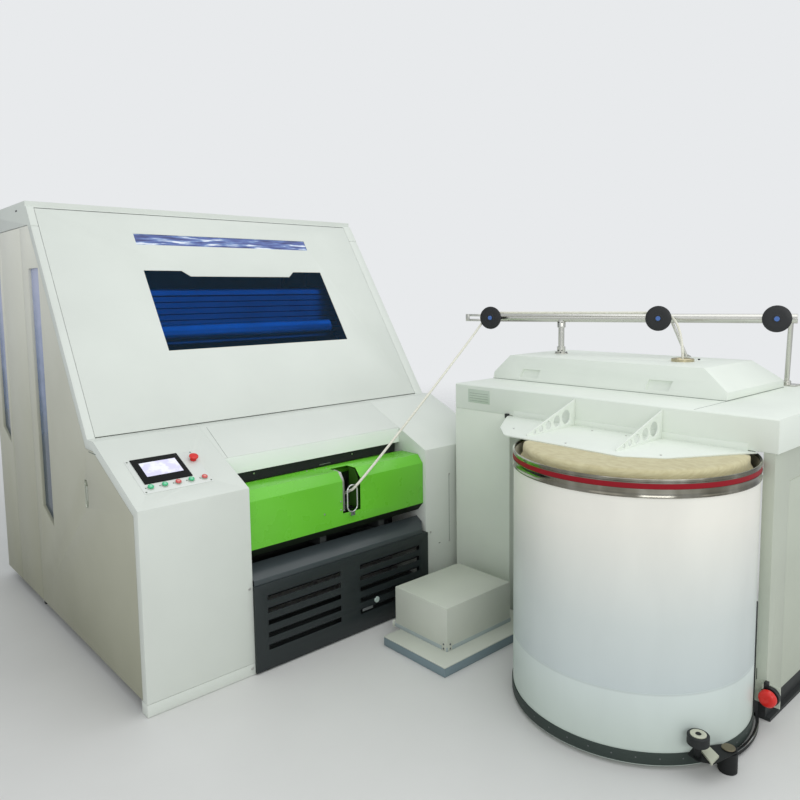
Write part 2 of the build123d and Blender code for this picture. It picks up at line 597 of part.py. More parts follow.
plate = disc(COILER_CENTRE, COILER_R, TABLE_LOW, TABLE_LOW + 20)
plate += disc(COILER_CENTRE, 60, TABLE_LOW + 20, TABLE_HIGH)
plate += disc(COILER_CENTRE, 200, TABLE_LOW + 40, TABLE_LOW + 70)
plate -= disc((COILER_CENTRE[0] - 250, COILER_CENTRE[1]), 20, TABLE_LOW - 1, TABLE_LOW + 21)
save("coiler_plate", plate)

turntable = disc(COILER_CENTRE, TURNTABLE_R, FLOOR_PLATE + 0.5, 45)
turntable = chamfer(turntable.edges().group_by(Axis.Z)[-1], 6)
save("turntable", turntable)

# Lid: a low sloping hood over the coiler's gears, with two recessed grips
LID_BASE = (2215.0, 2900.0, -1462.0, -42.0)
LID_FLAT = (2250.0, 2800.0, -1335.0, -145.0)


def lid_solid(i):
    """The lid's outer form, or moved in by i: its front is one leaning plane."""
    x0, x1, y0, y1 = LID_BASE
    u0, u1, v0, v1 = LID_FLAT
    top, wide, deep = LID_TOP - i, u1 - u0 - 2 * i, v1 - v0 - 2 * i
    flat = Plane.XY.offset(top) * Pos((u0 + u1) / 2, (v0 + v1) / 2) * Rectangle(wide, deep)
    wide, deep = x1 - x0 - 2 * i, y1 - y0 - 2 * i
    rim = Plane.XY.offset(LID_RIM) * Pos((x0 + x1) / 2, (y0 + y1) / 2) * Rectangle(wide, deep)
    body = loft([rim, flat]) + block(x0 + i, x1 - i, y0 + i, y1 - i, TABLE_HIGH - i, LID_RIM)
    front = [(x0 + i, TABLE_HIGH - i), (u0 + i, LID_TOP + 1), (x1 + 1, LID_TOP + 1), (x1 + 1, TABLE_HIGH - i)]
    return body & raised(Plane.XZ.offset(-y1 - 1), front, y1 - y0 + 2)


lid_slope = Plane(origin=(LID_BASE[0], 0, TABLE_HIGH), x_dir=(0, -1, 0),
                  z_dir=Vector(LID_TOP - TABLE_HIGH, 0, -(LID_FLAT[0] - LID_BASE[0])) * -1)
lid = lid_solid(0) - lid_solid(SHEET)
for y in (310, 1115):
    grip = [(y - 76, 18), (y + 62, 18), (y + 80, 76), (y - 58, 76)]
    lid += raised(lid_slope.offset(-16), grip, 15)
    pocket = [(y - 70, 22), (y + 56, 22), (y + 72, 72), (y - 54, 72)]
    lid -= raised(lid_slope.offset(-13), pocket, 20)
lid -= disc(COILER_CENTRE, 22, LID_RIM, LID_TOP + 1)
save("lid", lid)

RING_R = 58.0
inlet = disc(COILER_CENTRE, RING_R, LID_TOP, LID_TOP + 16)
inlet = chamfer(inlet.edges().group_by(Axis.Z)[-1], 3)
inlet -= disc(COILER_CENTRE, 40, LID_TOP + 6, LID_TOP + 17)
inlet += disc(COILER_CENTRE, 21, LID_TOP - 30, LID_TOP)
save("inlet_ring", inlet)

# Guard over the can: a bent plate on two pierced gussets
GUARD_Z = 1134.0
guard_plan = [(FASCIA, -1738), (1527, -1528), (1433, -1380), (1454, -760), (1593, -620),
              (1840, -456), (FASCIA, -430)]
guard = plan_shape(guard_plan, GUARD_Z, GUARD_Z + 6)
corners = guard.edges().filter_by(Axis.Z).sort_by(Axis.X)
guard = [fillet(corners[0:4], 60), block(FASCIA - 5, FASCIA, -1700, -470, GUARD_Z + 6, 1170)]
GUSSET_TIP, GUSSET_TOP, GUSSET_THICK = 1500.0, 1272.0, 5.0
HOLES = ((1806, 34), (1732, 27), (1664, 21), (1606, 15), (1560, 10))
for y in (-855, -1320):
    outline = [(GUSSET_TIP, GUARD_Z + 6), (FASCIA - 5, GUARD_Z + 6), (FASCIA - 5, GUSSET_TOP),
               (GUSSET_TIP, GUARD_Z + 14)]
    gusset = raised(Plane.XZ.offset(-y), outline, GUSSET_THICK)
    for x, r in HOLES:
        half = (x - GUSSET_TIP) / (FASCIA - GUSSET_TIP) * (GUSSET_TOP - GUARD_Z - 14) / 2
        middle = GUARD_Z + 9 + half
        gusset -= rod((x, y + 1, middle), (x, y - GUSSET_THICK - 1, middle), min(r, half + 1))
    guard.append(gusset)
save("can_guard", *guard)

# The full can that stands in front
shell = ring(CAN, CAN_SKIN_R, CAN_SKIN_R - CAN_WALL, FLOOR_PLATE, CAN_RIM - 12)
shell += disc(CAN, CAN_SKIN_R, FLOOR_PLATE, FLOOR_PLATE + 4)
save("can_shell", shell)
save("can_base_ring", ring(CAN, CAN_R, CAN_SKIN_R, 20, 67))
rims = [ring(CAN, CAN_R, CAN_SKIN_R, 1051, 1084),
        ring(CAN, CAN_R, CAN_SKIN_R - CAN_WALL - 2, CAN_RIM - 12, CAN_RIM)]
rims = [chamfer(r.edges().filter_by(GeomType.CIRCLE).group_by(SortBy.RADIUS)[-1], 2) for r in rims]
rims.append(ring(CAN, CAN_R - 1.5, CAN_SKIN_R, 1084, CAN_RIM - 12))
save("can_rim", *rims)
STACK_R, STACK_TOP_R, STACK_TOP = 486.0, 463.0, 1143.0
stack_line = [(0, FLOOR_PLATE + 4), (STACK_R, FLOOR_PLATE + 4), (STACK_R, 1060), (STACK_TOP_R, 1095),
              (STACK_TOP_R, STACK_TOP - 18), (STACK_TOP_R - 8, STACK_TOP - 6),
              (STACK_TOP_R - 26, STACK_TOP), (0, STACK_TOP)]
stack = Pos(*CAN, 0) * revolve(Plane.XZ * Polygon(*stack_line, align=None), Axis.Z)
pressed = offset(make_face(Polyline(*guard_plan, close=True)), 14, kind=Kind.INTERSECTION)
stack -= extrude(Plane.XY.offset(GUARD_Z - 3) * pressed, 40)
stack -= block(FASCIA - 14, FASCIA + 400, COILER_Y0, COILER_Y1, GUARD_Z - 3, GUARD_Z + 40)
save("sliver_stack", stack)

# Arm that swings the can out, with its roller and its rail
PIVOT = (1473.0, -1833.0)
ROLLER = (1347.0, -1775.0)
ROLLER_R = 44.0
ARM_LOW, ARM_THICK = 84.0, 10.0
rail = ring(CAN, 528, 516, 12, 28)
sector = [CAN] + [
    (CAN[0] + 700 * math.cos(math.radians(a)), CAN[1] + 700 * math.sin(math.radians(a)))
    for a in (-111, -85, -61)
]
rail = rail & plan_shape(sector, 0, 40)
rail += plan_shape([(1460, -1858), (1490, -1860), (1500, -1800), (1460, -1800)], 0, 28)
rail += disc(PIVOT, 34, 0, ARM_LOW - 6) + disc(PIVOT, 14, ARM_LOW - 6, ARM_LOW + ARM_THICK + 8)
rail += disc(PIVOT, 22, ARM_LOW - 6, ARM_LOW)
save("arm_rail", rail)

arm = plan_shape([(1473, -1866), (1340, -1836), (1316, -1790), (1330, -1742), (1380, -1738),
                  (1500, -1812)], ARM_LOW, ARM_LOW + ARM_THICK)
arm += disc(PIVOT, 36, ARM_LOW, ARM_LOW + ARM_THICK)
arm -= disc(PIVOT, 14 + FIT, ARM_LOW - 1, ARM_LOW + ARM_THICK + 1)
arm += disc(ROLLER, 10, ARM_LOW + ARM_THICK, 180)
save("change_arm", arm)
tyre = disc(ROLLER, ROLLER_R, 118, 172)
tyre = fillet(tyre.edges().filter_by(GeomType.CIRCLE), 4)
tyre -= disc(ROLLER, 10 + FIT, 100, 180)
save("arm_roller", tyre)

# Stop button at the stand's foot
STOP_AT = (-1826.0, 129.0)
KNOB_R, KNOB_STEM_R, KNOB_TRAVEL = 40.0, 12.0, 5.0
BODY_FACE = FASCIA - 27.0
stop_body = roller(STOP_AT, 36, BODY_FACE, FASCIA - 6)
stop_body += block(BODY_FACE, FASCIA - 6, STOP_AT[0] + 8, STOP_AT[0] + 26, 150, 178)
stop_body -= roller(STOP_AT, KNOB_STEM_R + FIT, BODY_FACE - 1, FASCIA - 8)
save("coiler_stand", coiler_stand, stop_body)
knob_back = BODY_FACE - KNOB_TRAVEL - 1
knob = roller(STOP_AT, KNOB_R, knob_back - 22, knob_back)
knob += roller(STOP_AT, KNOB_STEM_R, knob_back, knob_back + 18)
knob = chamfer(knob.edges().filter_by(GeomType.CIRCLE).sort_by(Axis.X)[0], 8)
save("stop_button", knob)

# Drive box on the floor beside the can
drive_base = block(1163, FASCIA, -645, -205, 0, 50)
box = block(1280, 1765, -545, -165, 50, 270)
box = chamfer(box.edges().group_by(Axis.Z)[-1], 5)
save("drive_box", drive_base, box)

# Guide bar over the coiler, on a post and two leaning stays
ALONG = Vector(0, -1, 0).rotate(Axis.Z, BAR_TURN)
BAR = Plane(origin=(*BAR_FROM, BAR_Z), x_dir=ALONG, z_dir=ALONG.cross(Vector(0, 0, 1)))


def by_bar(along, up=0.0, out=0.0):
    """A point beside the bar: along it, above it, and out towards the pulleys."""
    return BAR.from_local_coords(Vector(along, up, out))


def bar_rod(along, up, low, high, radius):
    """A round piece square to the bar, between two distances out from it."""
    return extrude(BAR.offset(low) * Pos(along, up) * Circle(radius), high - low)


BAR_END, PLATE_END = -60.0, -205.0
POST_ALONG, STAY_ALONG, BRACE_ALONG = 425.0, 1050.0, 1650.0
STAY_FOOT = (2775.0, -985.0)
BRACE_FOOT = (3000.0, -1440.0)
bar = rod(by_bar(BAR_END), by_bar(BRACE_ALONG + 30), BAR_R)
bar_plate = BAR.offset(-4) * Pos((BAR_END + PLATE_END) / 2, 0) * Rectangle(BAR_END - PLATE_END, 46)
bar_slot = BAR.offset(-5) * Pos((BAR_END + PLATE_END) / 2, 0) * Rectangle(BAR_END - PLATE_END - 50, 16)
bar += extrude(bar_plate, 8) - extrude(bar_slot, 10)
post = (by_bar(POST_ALONG).X, by_bar(POST_ALONG).Y)
bar += disc(post, 18, LID_TOP, BAR_Z)
bar += disc(post, 40, LID_TOP, LID_TOP + 8) + disc(post, 25, LID_TOP + 8, 1475)
bar += disc(post, 25, 1590, BAR_Z - 10)
bar += rod(by_bar(STAY_ALONG), (*STAY_FOOT, LID_TOP + 8), 8)
bar += disc(STAY_FOOT, 26, LID_TOP, LID_TOP + 6) + disc(STAY_FOOT, 13, LID_TOP + 6, LID_TOP + 14)
bar += rod(by_bar(BRACE_ALONG), (*BRACE_FOOT, TABLE_HIGH + 18), 13)
bar += disc(BRACE_FOOT, 22, TABLE_HIGH, TABLE_HIGH + 26)
bar += block(2960, 3045, -1500, -1390, TABLE_HIGH, TABLE_HIGH + 8)
for along in PULLEY_ALONG:
    bar += bar_rod(along, PULLEY_UP, 0, PULLEY_OUT + 40, AXLE_R)
    bar += bar_rod(along, PULLEY_UP, PULLEY_OUT + 40, PULLEY_OUT + 46, 14)
    bar += bar_rod(along, PULLEY_UP, 0, PULLEY_OUT - 28, 14)
save("guide_bar", bar)

pulley_line = [(-38, AXLE_R + FIT), (-38, 22), (-34, PULLEY_R), (-28, PULLEY_R), (-18, GROOVE_R),
               (18, GROOVE_R), (22, 40), (27, 40), (27, AXLE_R + FIT)]
for i, along in enumerate(PULLEY_ALONG, 1):
    wheel = revolve(Polygon(*pulley_line, align=None), Axis.X)
    save(f"pulley_{i}", BAR * Pos(along, PULLEY_UP, PULLEY_OUT) * Rot(0, 90, 0) * wheel)

# Sliver: from the calender rolls through the eye, over two pulleys, into the inlet
SECOND = PULLEY_ALONG[1]
SLIVER_UP = PULLEY_UP + GROOVE_R + SLIVER_R + 2
SLIVER_ROUTE = [
    (1150, 163, 703), (1146, 60, 764), (1146, -26, 800),
    by_bar(-74, SLIVER_UP - 89, PULLEY_OUT + 20), by_bar(-52, SLIVER_UP - 26, PULLEY_OUT),
    by_bar(-30, SLIVER_UP, PULLEY_OUT), by_bar(SECOND + 50, SLIVER_UP, PULLEY_OUT),
    by_bar(SECOND + 105, SLIVER_UP - 70, PULLEY_OUT + 10),
    (*COILER_CENTRE, LID_TOP + 70), (*COILER_CENTRE, LID_TOP + 6),
]


def cord_line(points):
    """Straight runs joined by arcs as large as the runs allow."""
    points = [Vector(*p) if isinstance(p, tuple) else p for p in points]
    edges, at, radii = [], points[0], []
    for a, b, c in zip(points, points[1:], points[2:]):
        come, go = (b - a).normalized(), (c - b).normalized()
        reach = 0.45 * min((b - a).length, (c - b).length)
        half = math.acos(max(-1, min(1, come.dot(go)))) / 2
        radius = reach / math.tan(half)
        radii.append(round(radius))
        start, stop = b - come * reach, b + go * reach
        middle = b + (go - come).normalized() * (radius / math.cos(half) - radius)
        edges += [Line(at, start), ThreePointArc(start, middle, stop)]
        at = stop
    edges.append(Line(at, points[-1]))
    print("sliver bend radii", radii)
    return Wire(edges)


sliver_path = cord_line(SLIVER_ROUTE)
sliver_start = Plane(origin=sliver_path.position_at(0), z_dir=sliver_path.tangent_at(0))
sliver = sweep(sliver_start * Circle(SLIVER_R), path=sliver_path)
print("sliver", round(sliver_path.length), "mm, volume over section times length",
      round(sliver.volume / (math.pi * SLIVER_R ** 2 * sliver_path.length), 3))
save("sliver", sliver)
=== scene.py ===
import json
import math
from contextlib import contextmanager

import bmesh
import bpy
from mathutils import Matrix, Vector
from mathutils import noise as noise_fields


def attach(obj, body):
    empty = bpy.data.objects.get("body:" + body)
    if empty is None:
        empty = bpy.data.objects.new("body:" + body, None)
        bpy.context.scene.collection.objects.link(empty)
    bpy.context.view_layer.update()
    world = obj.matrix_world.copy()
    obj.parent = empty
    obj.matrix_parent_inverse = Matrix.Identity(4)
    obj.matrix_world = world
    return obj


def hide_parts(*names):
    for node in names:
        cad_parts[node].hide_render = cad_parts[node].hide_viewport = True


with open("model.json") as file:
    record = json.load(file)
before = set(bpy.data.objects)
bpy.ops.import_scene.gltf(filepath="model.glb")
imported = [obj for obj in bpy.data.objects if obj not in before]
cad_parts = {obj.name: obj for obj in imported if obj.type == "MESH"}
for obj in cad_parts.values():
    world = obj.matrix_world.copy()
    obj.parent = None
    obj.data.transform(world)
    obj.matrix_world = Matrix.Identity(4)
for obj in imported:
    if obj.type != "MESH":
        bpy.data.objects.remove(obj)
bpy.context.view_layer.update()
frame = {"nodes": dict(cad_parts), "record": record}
nodes = frame["nodes"]

# Places are worked out in the card's own millimetres, from its front-left bottom corner:
# X along its front, Y to its back
CORNER_X, CORNER_Y = 1525.0, 185.5
RIGHT, FRONT, UP = Vector((1, 0, 0)), Vector((0, -1, 0)), Vector((0, 0, 1))


def at(x, y, z):
    """A place in card millimetres, in the frame's metres."""
    return Vector(((x - CORNER_X) / 1000, (y - CORNER_Y) / 1000, z / 1000))


def in_card(place):
    """A place in the frame's metres, back in card millimetres."""
    return place.x * 1000 + CORNER_X, place.y * 1000 + CORNER_Y, place.z * 1000


def mm(value):
    """Millimetres in metres."""
    return value / 1000


def colour(red, green, blue):
    """A finish colour given as it looks on a screen, 0 to 255."""
    def linear(v):
        v /= 255
        return v / 12.92 if v <= 0.04045 else ((v + 0.055) / 1.055) ** 2.4
    return (linear(red), linear(green), linear(blue), 1.0)


# Finishes
FINE_GRAIN, GRAIN_RELIEF = 260.0, 0.0004


def blank(name):
    """A new finish: its material, node tree, shader and coordinates."""
    material = bpy.data.materials.new(name)
    material.use_nodes = True
    tree = material.node_tree
    return material, tree, tree.nodes["Principled BSDF"], tree.nodes.new("ShaderNodeTexCoord")


def noise(tree, place, scale, detail=3.0, stretch=(1, 1, 1)):
    """An uneven value over the piece, drawn out where stretch is small."""
    mapping = tree.nodes.new("ShaderNodeMapping")
    mapping.inputs["Scale"].default_value = stretch
    tree.links.new(place.outputs["Object"], mapping.inputs["Vector"])
    texture = tree.nodes.new("ShaderNodeTexNoise")
    texture.inputs["Scale"].default_value = scale
    texture.inputs["Detail"].default_value = detail
    tree.links.new(mapping.outputs["Vector"], texture.inputs["Vector"])
    return texture.outputs["Fac"]


def ramp(tree, value, stops):
    """Colours set out along a value; stops are (place, colour)."""
    node = tree.nodes.new("ShaderNodeValToRGB")
    points = node.color_ramp.elements
    points[0].position, points[0].color = stops[0]
    points[1].position, points[1].color = stops[-1]
    for place, tint in stops[1:-1]:
        point = points.new(place)
        point.color = tint
    tree.links.new(value, node.inputs["Fac"])
    return node.outputs["Color"]


def maths(tree, operation, *values):
    """The outcome of a sum on sockets and plain numbers."""
    node = tree.nodes.new("ShaderNodeMath")
    node.operation = operation
    for socket, value in zip(node.inputs, values):
        if isinstance(value, (int, float)):
            socket.default_value = value
        else:
            tree.links.new(value, socket)
    return node.outputs[0]


def height_of(tree, place):
    """How high a place on the piece lies, in metres."""
    parts = tree.nodes.new("ShaderNodeSeparateXYZ")
    tree.links.new(place.outputs["Object"], parts.inputs["Vector"])
    return parts.outputs["Z"]


def shade(tint, by):
    """The colour made darker or lighter."""
    return (min(tint[0] * by, 1), min(tint[1] * by, 1), min(tint[2] * by, 1), 1.0)


def bumped(tree, shader, value, strength, distance):
    """Let a value raise the surface."""
    bump = tree.nodes.new("ShaderNodeBump")
    bump.inputs["Strength"].default_value = strength
    bump.inputs["Distance"].default_value = distance
    tree.links.new(value, bump.inputs["Height"])
    tree.links.new(bump.outputs["Normal"], shader.inputs["Normal"])


def roughened(tree, shader, value, low, high):
    """Let a value vary the roughness between low and high."""
    spread = tree.nodes.new("ShaderNodeMapRange")
    spread.inputs["To Min"].default_value = low
    spread.inputs["To Max"].default_value = high
    tree.links.new(value, spread.inputs["Value"])
    tree.links.new(spread.outputs["Result"], shader.inputs["Roughness"])


def see_through(tree, shader):
    """Mix a clear finish into the shader's; gives the sockets of its share and its tint."""
    clear = tree.nodes.new("ShaderNodeBsdfTransparent")
    both = tree.nodes.new("ShaderNodeMixShader")
    tree.links.new(shader.outputs["BSDF"], both.inputs[1])
    tree.links.new(clear.outputs["BSDF"], both.inputs[2])
    tree.links.new(both.outputs["Shader"], tree.nodes["Material Output"].inputs["Surface"])
    return both.inputs["Fac"], clear.inputs["Color"]


def paint(name, screen, rough=0.4, mottle=0.03, grain=0.05, metal=0.0, stretch=(1, 1, 1), shine=0.5):
    """Sprayed or rubbed finish: soft uneven tone, a fine surface grain."""
    material, tree, shader, place = blank(name)
    tint = colour(*screen)
    broad = noise(tree, place, 2.2, 4.0)
    tone = ramp(tree, broad, [(0.3, shade(tint, 1 - mottle)), (0.7, shade(tint, 1 + mottle))])
    tree.links.new(tone, shader.inputs["Base Color"])
    roughened(tree, shader, noise(tree, place, 9.0), rough - 0.06, rough + 0.06)
    bumped(tree, shader, noise(tree, place, FINE_GRAIN, 2.0, stretch), grain, GRAIN_RELIEF)
    shader.inputs["Metallic"].default_value = metal
    shader.inputs["Specular IOR Level"].default_value = shine
    return material


card_paint = paint("card_paint", (214, 219, 211))
coiler_paint = paint("coiler_paint", (228, 234, 224), rough=0.45)
cabinet_paint = paint("cabinet_paint", (224, 231, 218), rough=0.5, mottle=0.04)
stand_paint = paint("stand_paint", (186, 192, 177), rough=0.5, mottle=0.05)
# Brighter than the card paint: painted light on the lip below the hood
lip_painted_light = paint("delivery_lip_paint", (247, 250, 246), rough=0.35, mottle=0.01)
handle_metal = paint("handle_metal", (188, 192, 178), rough=0.3, metal=0.6)
green_paint = paint("green_cover_paint", (104, 194, 46), rough=0.28, mottle=0.05)
vent_paint = paint("vent_paint", (29, 37, 38), rough=0.45, mottle=0.06)
shelf_paint = paint("shelf_paint", (60, 68, 70), rough=0.32, mottle=0.06)
base_paint = paint("base_paint", (40, 43, 43), rough=0.6)
# Near black green: painted shade on the green cover's underside
cover_painted_shade = paint("cover_painted_shade", (14, 26, 10), rough=0.7, shine=0.2)
# The cover's green darkened: painted shade on the cheeks inside its slot
slot_painted_shade = paint("slot_painted_shade", (52, 96, 24), rough=0.5)
arm_paint = paint("arm_paint", (190, 192, 172), rough=0.5)
cast_grey = paint("cast_grey", (96, 100, 100), rough=0.65, mottle=0.1, grain=0.4)
drive_green = paint("drive_box_paint", (201, 205, 193), rough=0.5, mottle=0.06)
drive_blue = paint("drive_base_paint", (118, 136, 142), rough=0.5, mottle=0.06)
drive_strip = paint("drive_seal_strip", (170, 182, 182), rough=0.55, mottle=0.12)
steel = paint("turned_steel", (196, 196, 192), rough=0.3, metal=1.0, grain=0.12, stretch=(1, 1, 30))
drawn_steel = paint("drawn_steel", (206, 205, 198), rough=0.26, metal=1.0, grain=0.1,
                    stretch=(1, 0.03, 1))
chrome = paint("chrome", (215, 215, 215), rough=0.12, metal=1.0, grain=0.02)
brass = paint("inlet_brass", (190, 180, 150), rough=0.3, metal=1.0)
aluminium = paint("flat_aluminium", (200, 205, 212), rough=0.35, metal=1.0, stretch=(0.05, 1, 1))
roll_steel = paint("roll_steel", (244, 246, 248), rough=0.22, metal=1.0, grain=0.03)
black = paint("black_plastic", (24, 26, 28), rough=0.45, grain=0.15)
bezel_black = paint("bezel_black", (10, 11, 11), rough=0.6, shine=0.2)
dark_iron = paint("dark_iron", (22, 24, 24), rough=0.55, mottle=0.1, shine=0.3)
worn_bronze = paint("worn_bronze", (124, 116, 96), rough=0.4, mottle=0.3, metal=0.8)
tyre_black = paint("tyre_rubber", (20, 24, 24), rough=0.6, grain=0.3)
red_paint = paint("red_band_paint", (146, 10, 28), rough=0.55, mottle=0.08, shine=0.25)
base_rubber = paint("can_base_rubber", (42, 54, 49), rough=0.6, mottle=0.1)
green_button = paint("green_button", (62, 186, 128), rough=0.25)
green_centre = paint("green_button_centre", (150, 216, 182), rough=0.25)
red_button = paint("red_button", (206, 84, 80), rough=0.25)
red_centre = paint("red_button_centre", (226, 150, 142), rough=0.25)
collar_finish = paint("button_collar", (196, 206, 194), rough=0.3)
plate_face = paint("control_plate_finish", (217, 221, 215), rough=0.34, mottle=0.015)
stop_red = paint("stop_red", (214, 40, 34), rough=0.3)
hub_blue = paint("hub_blue", (70, 108, 176), rough=0.3)
mark_grey = paint("mark_grey", (106, 116, 106), rough=0.6)
plate_grey = paint("bare_nameplate", (196, 208, 194), rough=0.35, metal=0.2)
latch_grey = paint("latch_grey", (176, 192, 184), rough=0.4)


def floor_finish():
    """Pale floor that thins out into the backdrop far from the machine."""
    material, tree, shader, place = blank("pale_floor")
    tone = ramp(tree, noise(tree, place, 1.2, 4.0), [
        (0.3, colour(212, 212, 209)), (0.7, colour(218, 218, 215))])
    tree.links.new(tone, shader.inputs["Base Color"])
    roughened(tree, shader, noise(tree, place, 3.0), 0.5, 0.6)
    far = tree.nodes.new("ShaderNodeVectorMath")
    far.operation = "LENGTH"
    tree.links.new(place.outputs["Object"], far.inputs[0])
    fade = tree.nodes.new("ShaderNodeMapRange")
    fade.interpolation_type = "SMOOTHSTEP"
    fade.inputs["From Min"].default_value = 3.0
    fade.inputs["From Max"].default_value = 11.0
    tree.links.new(far.outputs["Value"], fade.inputs["Value"])
    share, _ = see_through(tree, shader)
    tree.links.new(fade.outputs["Result"], share)
    return material


def side_finish():
    """The casing's side sheets, with painted shade that darkens them towards the floor and a painted warm
    reflection low down.
    """
    material, tree, shader, place = blank("card_side_paint")
    # Noise and height set the painted shade: lighter high up, darker and warmer near the floor
    uneven = maths(tree, "MULTIPLY_ADD", noise(tree, place, 1.6, 3.0), 0.6, height_of(tree, place))
    tone = ramp(tree, maths(tree, "MULTIPLY", uneven, 0.36), [
        (0.12, colour(146, 146, 124)), (0.5, colour(186, 186, 168)), (0.9, colour(232, 232, 219))])
    tree.links.new(tone, shader.inputs["Base Color"])
    roughened(tree, shader, noise(tree, place, 9.0), 0.36, 0.46)
    bumped(tree, shader, noise(tree, place, FINE_GRAIN, 2.0), 0.05, GRAIN_RELIEF)
    return material


def can_finish():
    """Painted light: warm white at the lit top, bluer and darker low down; with a weld line and faint scuffs.
    """
    material, tree, shader, place = blank("can_plastic")
    # The height ramp paints the light on the can, with a dark band at the weld line
    tone = ramp(tree, height_of(tree, place), [
        (0.0, colour(190, 202, 192)), (0.29, colour(206, 216, 212)), (0.296, colour(186, 196, 192)),
        (0.302, colour(202, 212, 212)), (0.55, colour(210, 217, 214)), (0.95, colour(240, 238, 228))])
    scuff = ramp(tree, noise(tree, place, 3.5, 6.0, (1, 1, 0.35)), [
        (0.35, (0.94, 0.94, 0.94, 1)), (0.6, (1, 1, 1, 1))])
    mixed = tree.nodes.new("ShaderNodeMix")
    mixed.data_type, mixed.blend_type = "RGBA", "MULTIPLY"
    mixed.inputs["Factor"].default_value = 1.0
    tree.links.new(tone, mixed.inputs["A"])
    tree.links.new(scuff, mixed.inputs["B"])
    tree.links.new(mixed.outputs["Result"], shader.inputs["Base Color"])
    roughened(tree, shader, noise(tree, place, 6.0), 0.3, 0.45)
    bumped(tree, shader, noise(tree, place, 5.0, 2.0), 0.25, 0.004)
    return material


def window_glass(name, tint, clear):
    """Tinted glass that shows what lies behind it."""
    material, tree, shader, place = blank(name)
    shader.inputs["Base Color"].default_value = shade(tint, 0.12)
    roughened(tree, shader, noise(tree, place, 3.0), 0.03, 0.07)
    haze = ramp(tree, noise(tree, place, 4.0), [(0.3, shade(tint, 0.9)), (0.7, tint)])
    share, through = see_through(tree, shader)
    share.default_value = clear
    tree.links.new(haze, through)
    return material


def streaked(name, stops, scale, stretch, rough, metal):
    """A polished surface with painted reflections: long pale glints in its colour."""
    material, tree, shader, place = blank(name)
    tone = ramp(tree, noise(tree, place, scale, 3.0, stretch), stops)
    tree.links.new(tone, shader.inputs["Base Color"])
    roughened(tree, shader, noise(tree, place, 8.0), rough - 0.05, rough + 0.05)
    shader.inputs["Metallic"].default_value = metal
    return material


def side_glass_finish():
    """Glass with a painted reflection: pale high up, dark blue low down."""
    material, tree, shader, place = blank("side_glass")
    cloudy = noise(tree, place, 7.0, 5.0, (1, 1, 1.6))
    # Noise and height set the painted reflection on the glass
    uneven = maths(tree, "MULTIPLY_ADD", cloudy, 0.5, height_of(tree, place))
    tone = ramp(tree, maths(tree, "MULTIPLY", uneven, 0.45), [
        (0.34, colour(42, 58, 74)), (0.56, colour(60, 78, 96)), (0.66, colour(84, 106, 140)),
        (0.78, colour(130, 146, 184)), (0.95, colour(172, 180, 212))])
    tree.links.new(tone, shader.inputs["Base Color"])
    roughened(tree, shader, noise(tree, place, 8.0), 0.08, 0.18)
    return material


def cotton_finish(name, light, dark, scale, slant=0.0):
    """Loose fibre: fine streaks, slanted where asked, and a soft fuzzy surface."""
    material, tree, shader, place = blank(name)
    lean = tree.nodes.new("ShaderNodeMapping")
    lean.vector_type = "TEXTURE"
    lean.inputs["Rotation"].default_value = (0, -slant, 0)
    lean.inputs["Scale"].default_value = (6, 6, 1) if slant else (1, 1, 1)
    tree.links.new(place.outputs["Object"], lean.inputs["Vector"])
    streaks = tree.nodes.new("ShaderNodeTexNoise")
    streaks.inputs["Scale"].default_value = scale
    streaks.inputs["Detail"].default_value = 6.0
    tree.links.new(lean.outputs["Vector"], streaks.inputs["Vector"])
    tone = ramp(tree, streaks.outputs["Fac"], [(0.35, dark), (0.62, light)])
    tree.links.new(tone, shader.inputs["Base Color"])
    roughened(tree, shader, noise(tree, place, 12.0), 0.85, 0.95)
    bumped(tree, shader, noise(tree, place, scale * 2.5, 6.0), 0.35, 0.0015)
    shader.inputs["Sheen Weight"].default_value = 0.15
    shader.inputs["Specular IOR Level"].default_value = 0.2
    return material


def screen_finish():
    """A lit screen, washed out, with faint lilac patches."""
    material, tree, shader, place = blank("screen_face")
    tone = ramp(tree, noise(tree, place, 26.0, 2.0), [
        (0.42, colour(214, 211, 238)), (0.58, colour(236, 236, 246))])
    tree.links.new(tone, shader.inputs["Base Color"])
    tree.links.new(tone, shader.inputs["Emission Color"])
    shader.inputs["Emission Strength"].default_value = 0.16
    roughened(tree, shader, noise(tree, place, 8.0), 0.16, 0.24)
    return material


floor_paint = floor_finish()
side_paint = side_finish()
can_plastic = can_finish()
# The chrome rings' colour holds painted reflections: dark and pale glints
ring_chrome = streaked("ring_chrome", [
    (0.36, colour(84, 80, 68)), (0.5, colour(136, 132, 120)), (0.6, colour(196, 194, 184)),
    (0.68, colour(236, 234, 228))], 4.0, (1, 1, 0.3), 0.16, 1.0)
hood_glass = window_glass("hood_glass", (0.14, 0.51, 0.78, 1), 0.9)
# The strip window's colour holds painted reflections: pale glints on dark blue
strip_glass = streaked("strip_glass", [
    (0.36, colour(44, 56, 112)), (0.48, colour(74, 92, 158)), (0.56, colour(104, 132, 186)),
    (0.61, colour(196, 210, 232)), (0.64, colour(232, 236, 244))], 5.0, (1.3, 12, 12), 0.12, 0.0)
side_glass = side_glass_finish()
screen_glow = screen_finish()
cotton = cotton_finish("cotton", colour(200, 193, 155), colour(188, 179, 140), 150.0, math.radians(20))
sliver_cotton = cotton_finish("sliver_cotton", colour(234, 233, 220), colour(212, 209, 192), 160.0)

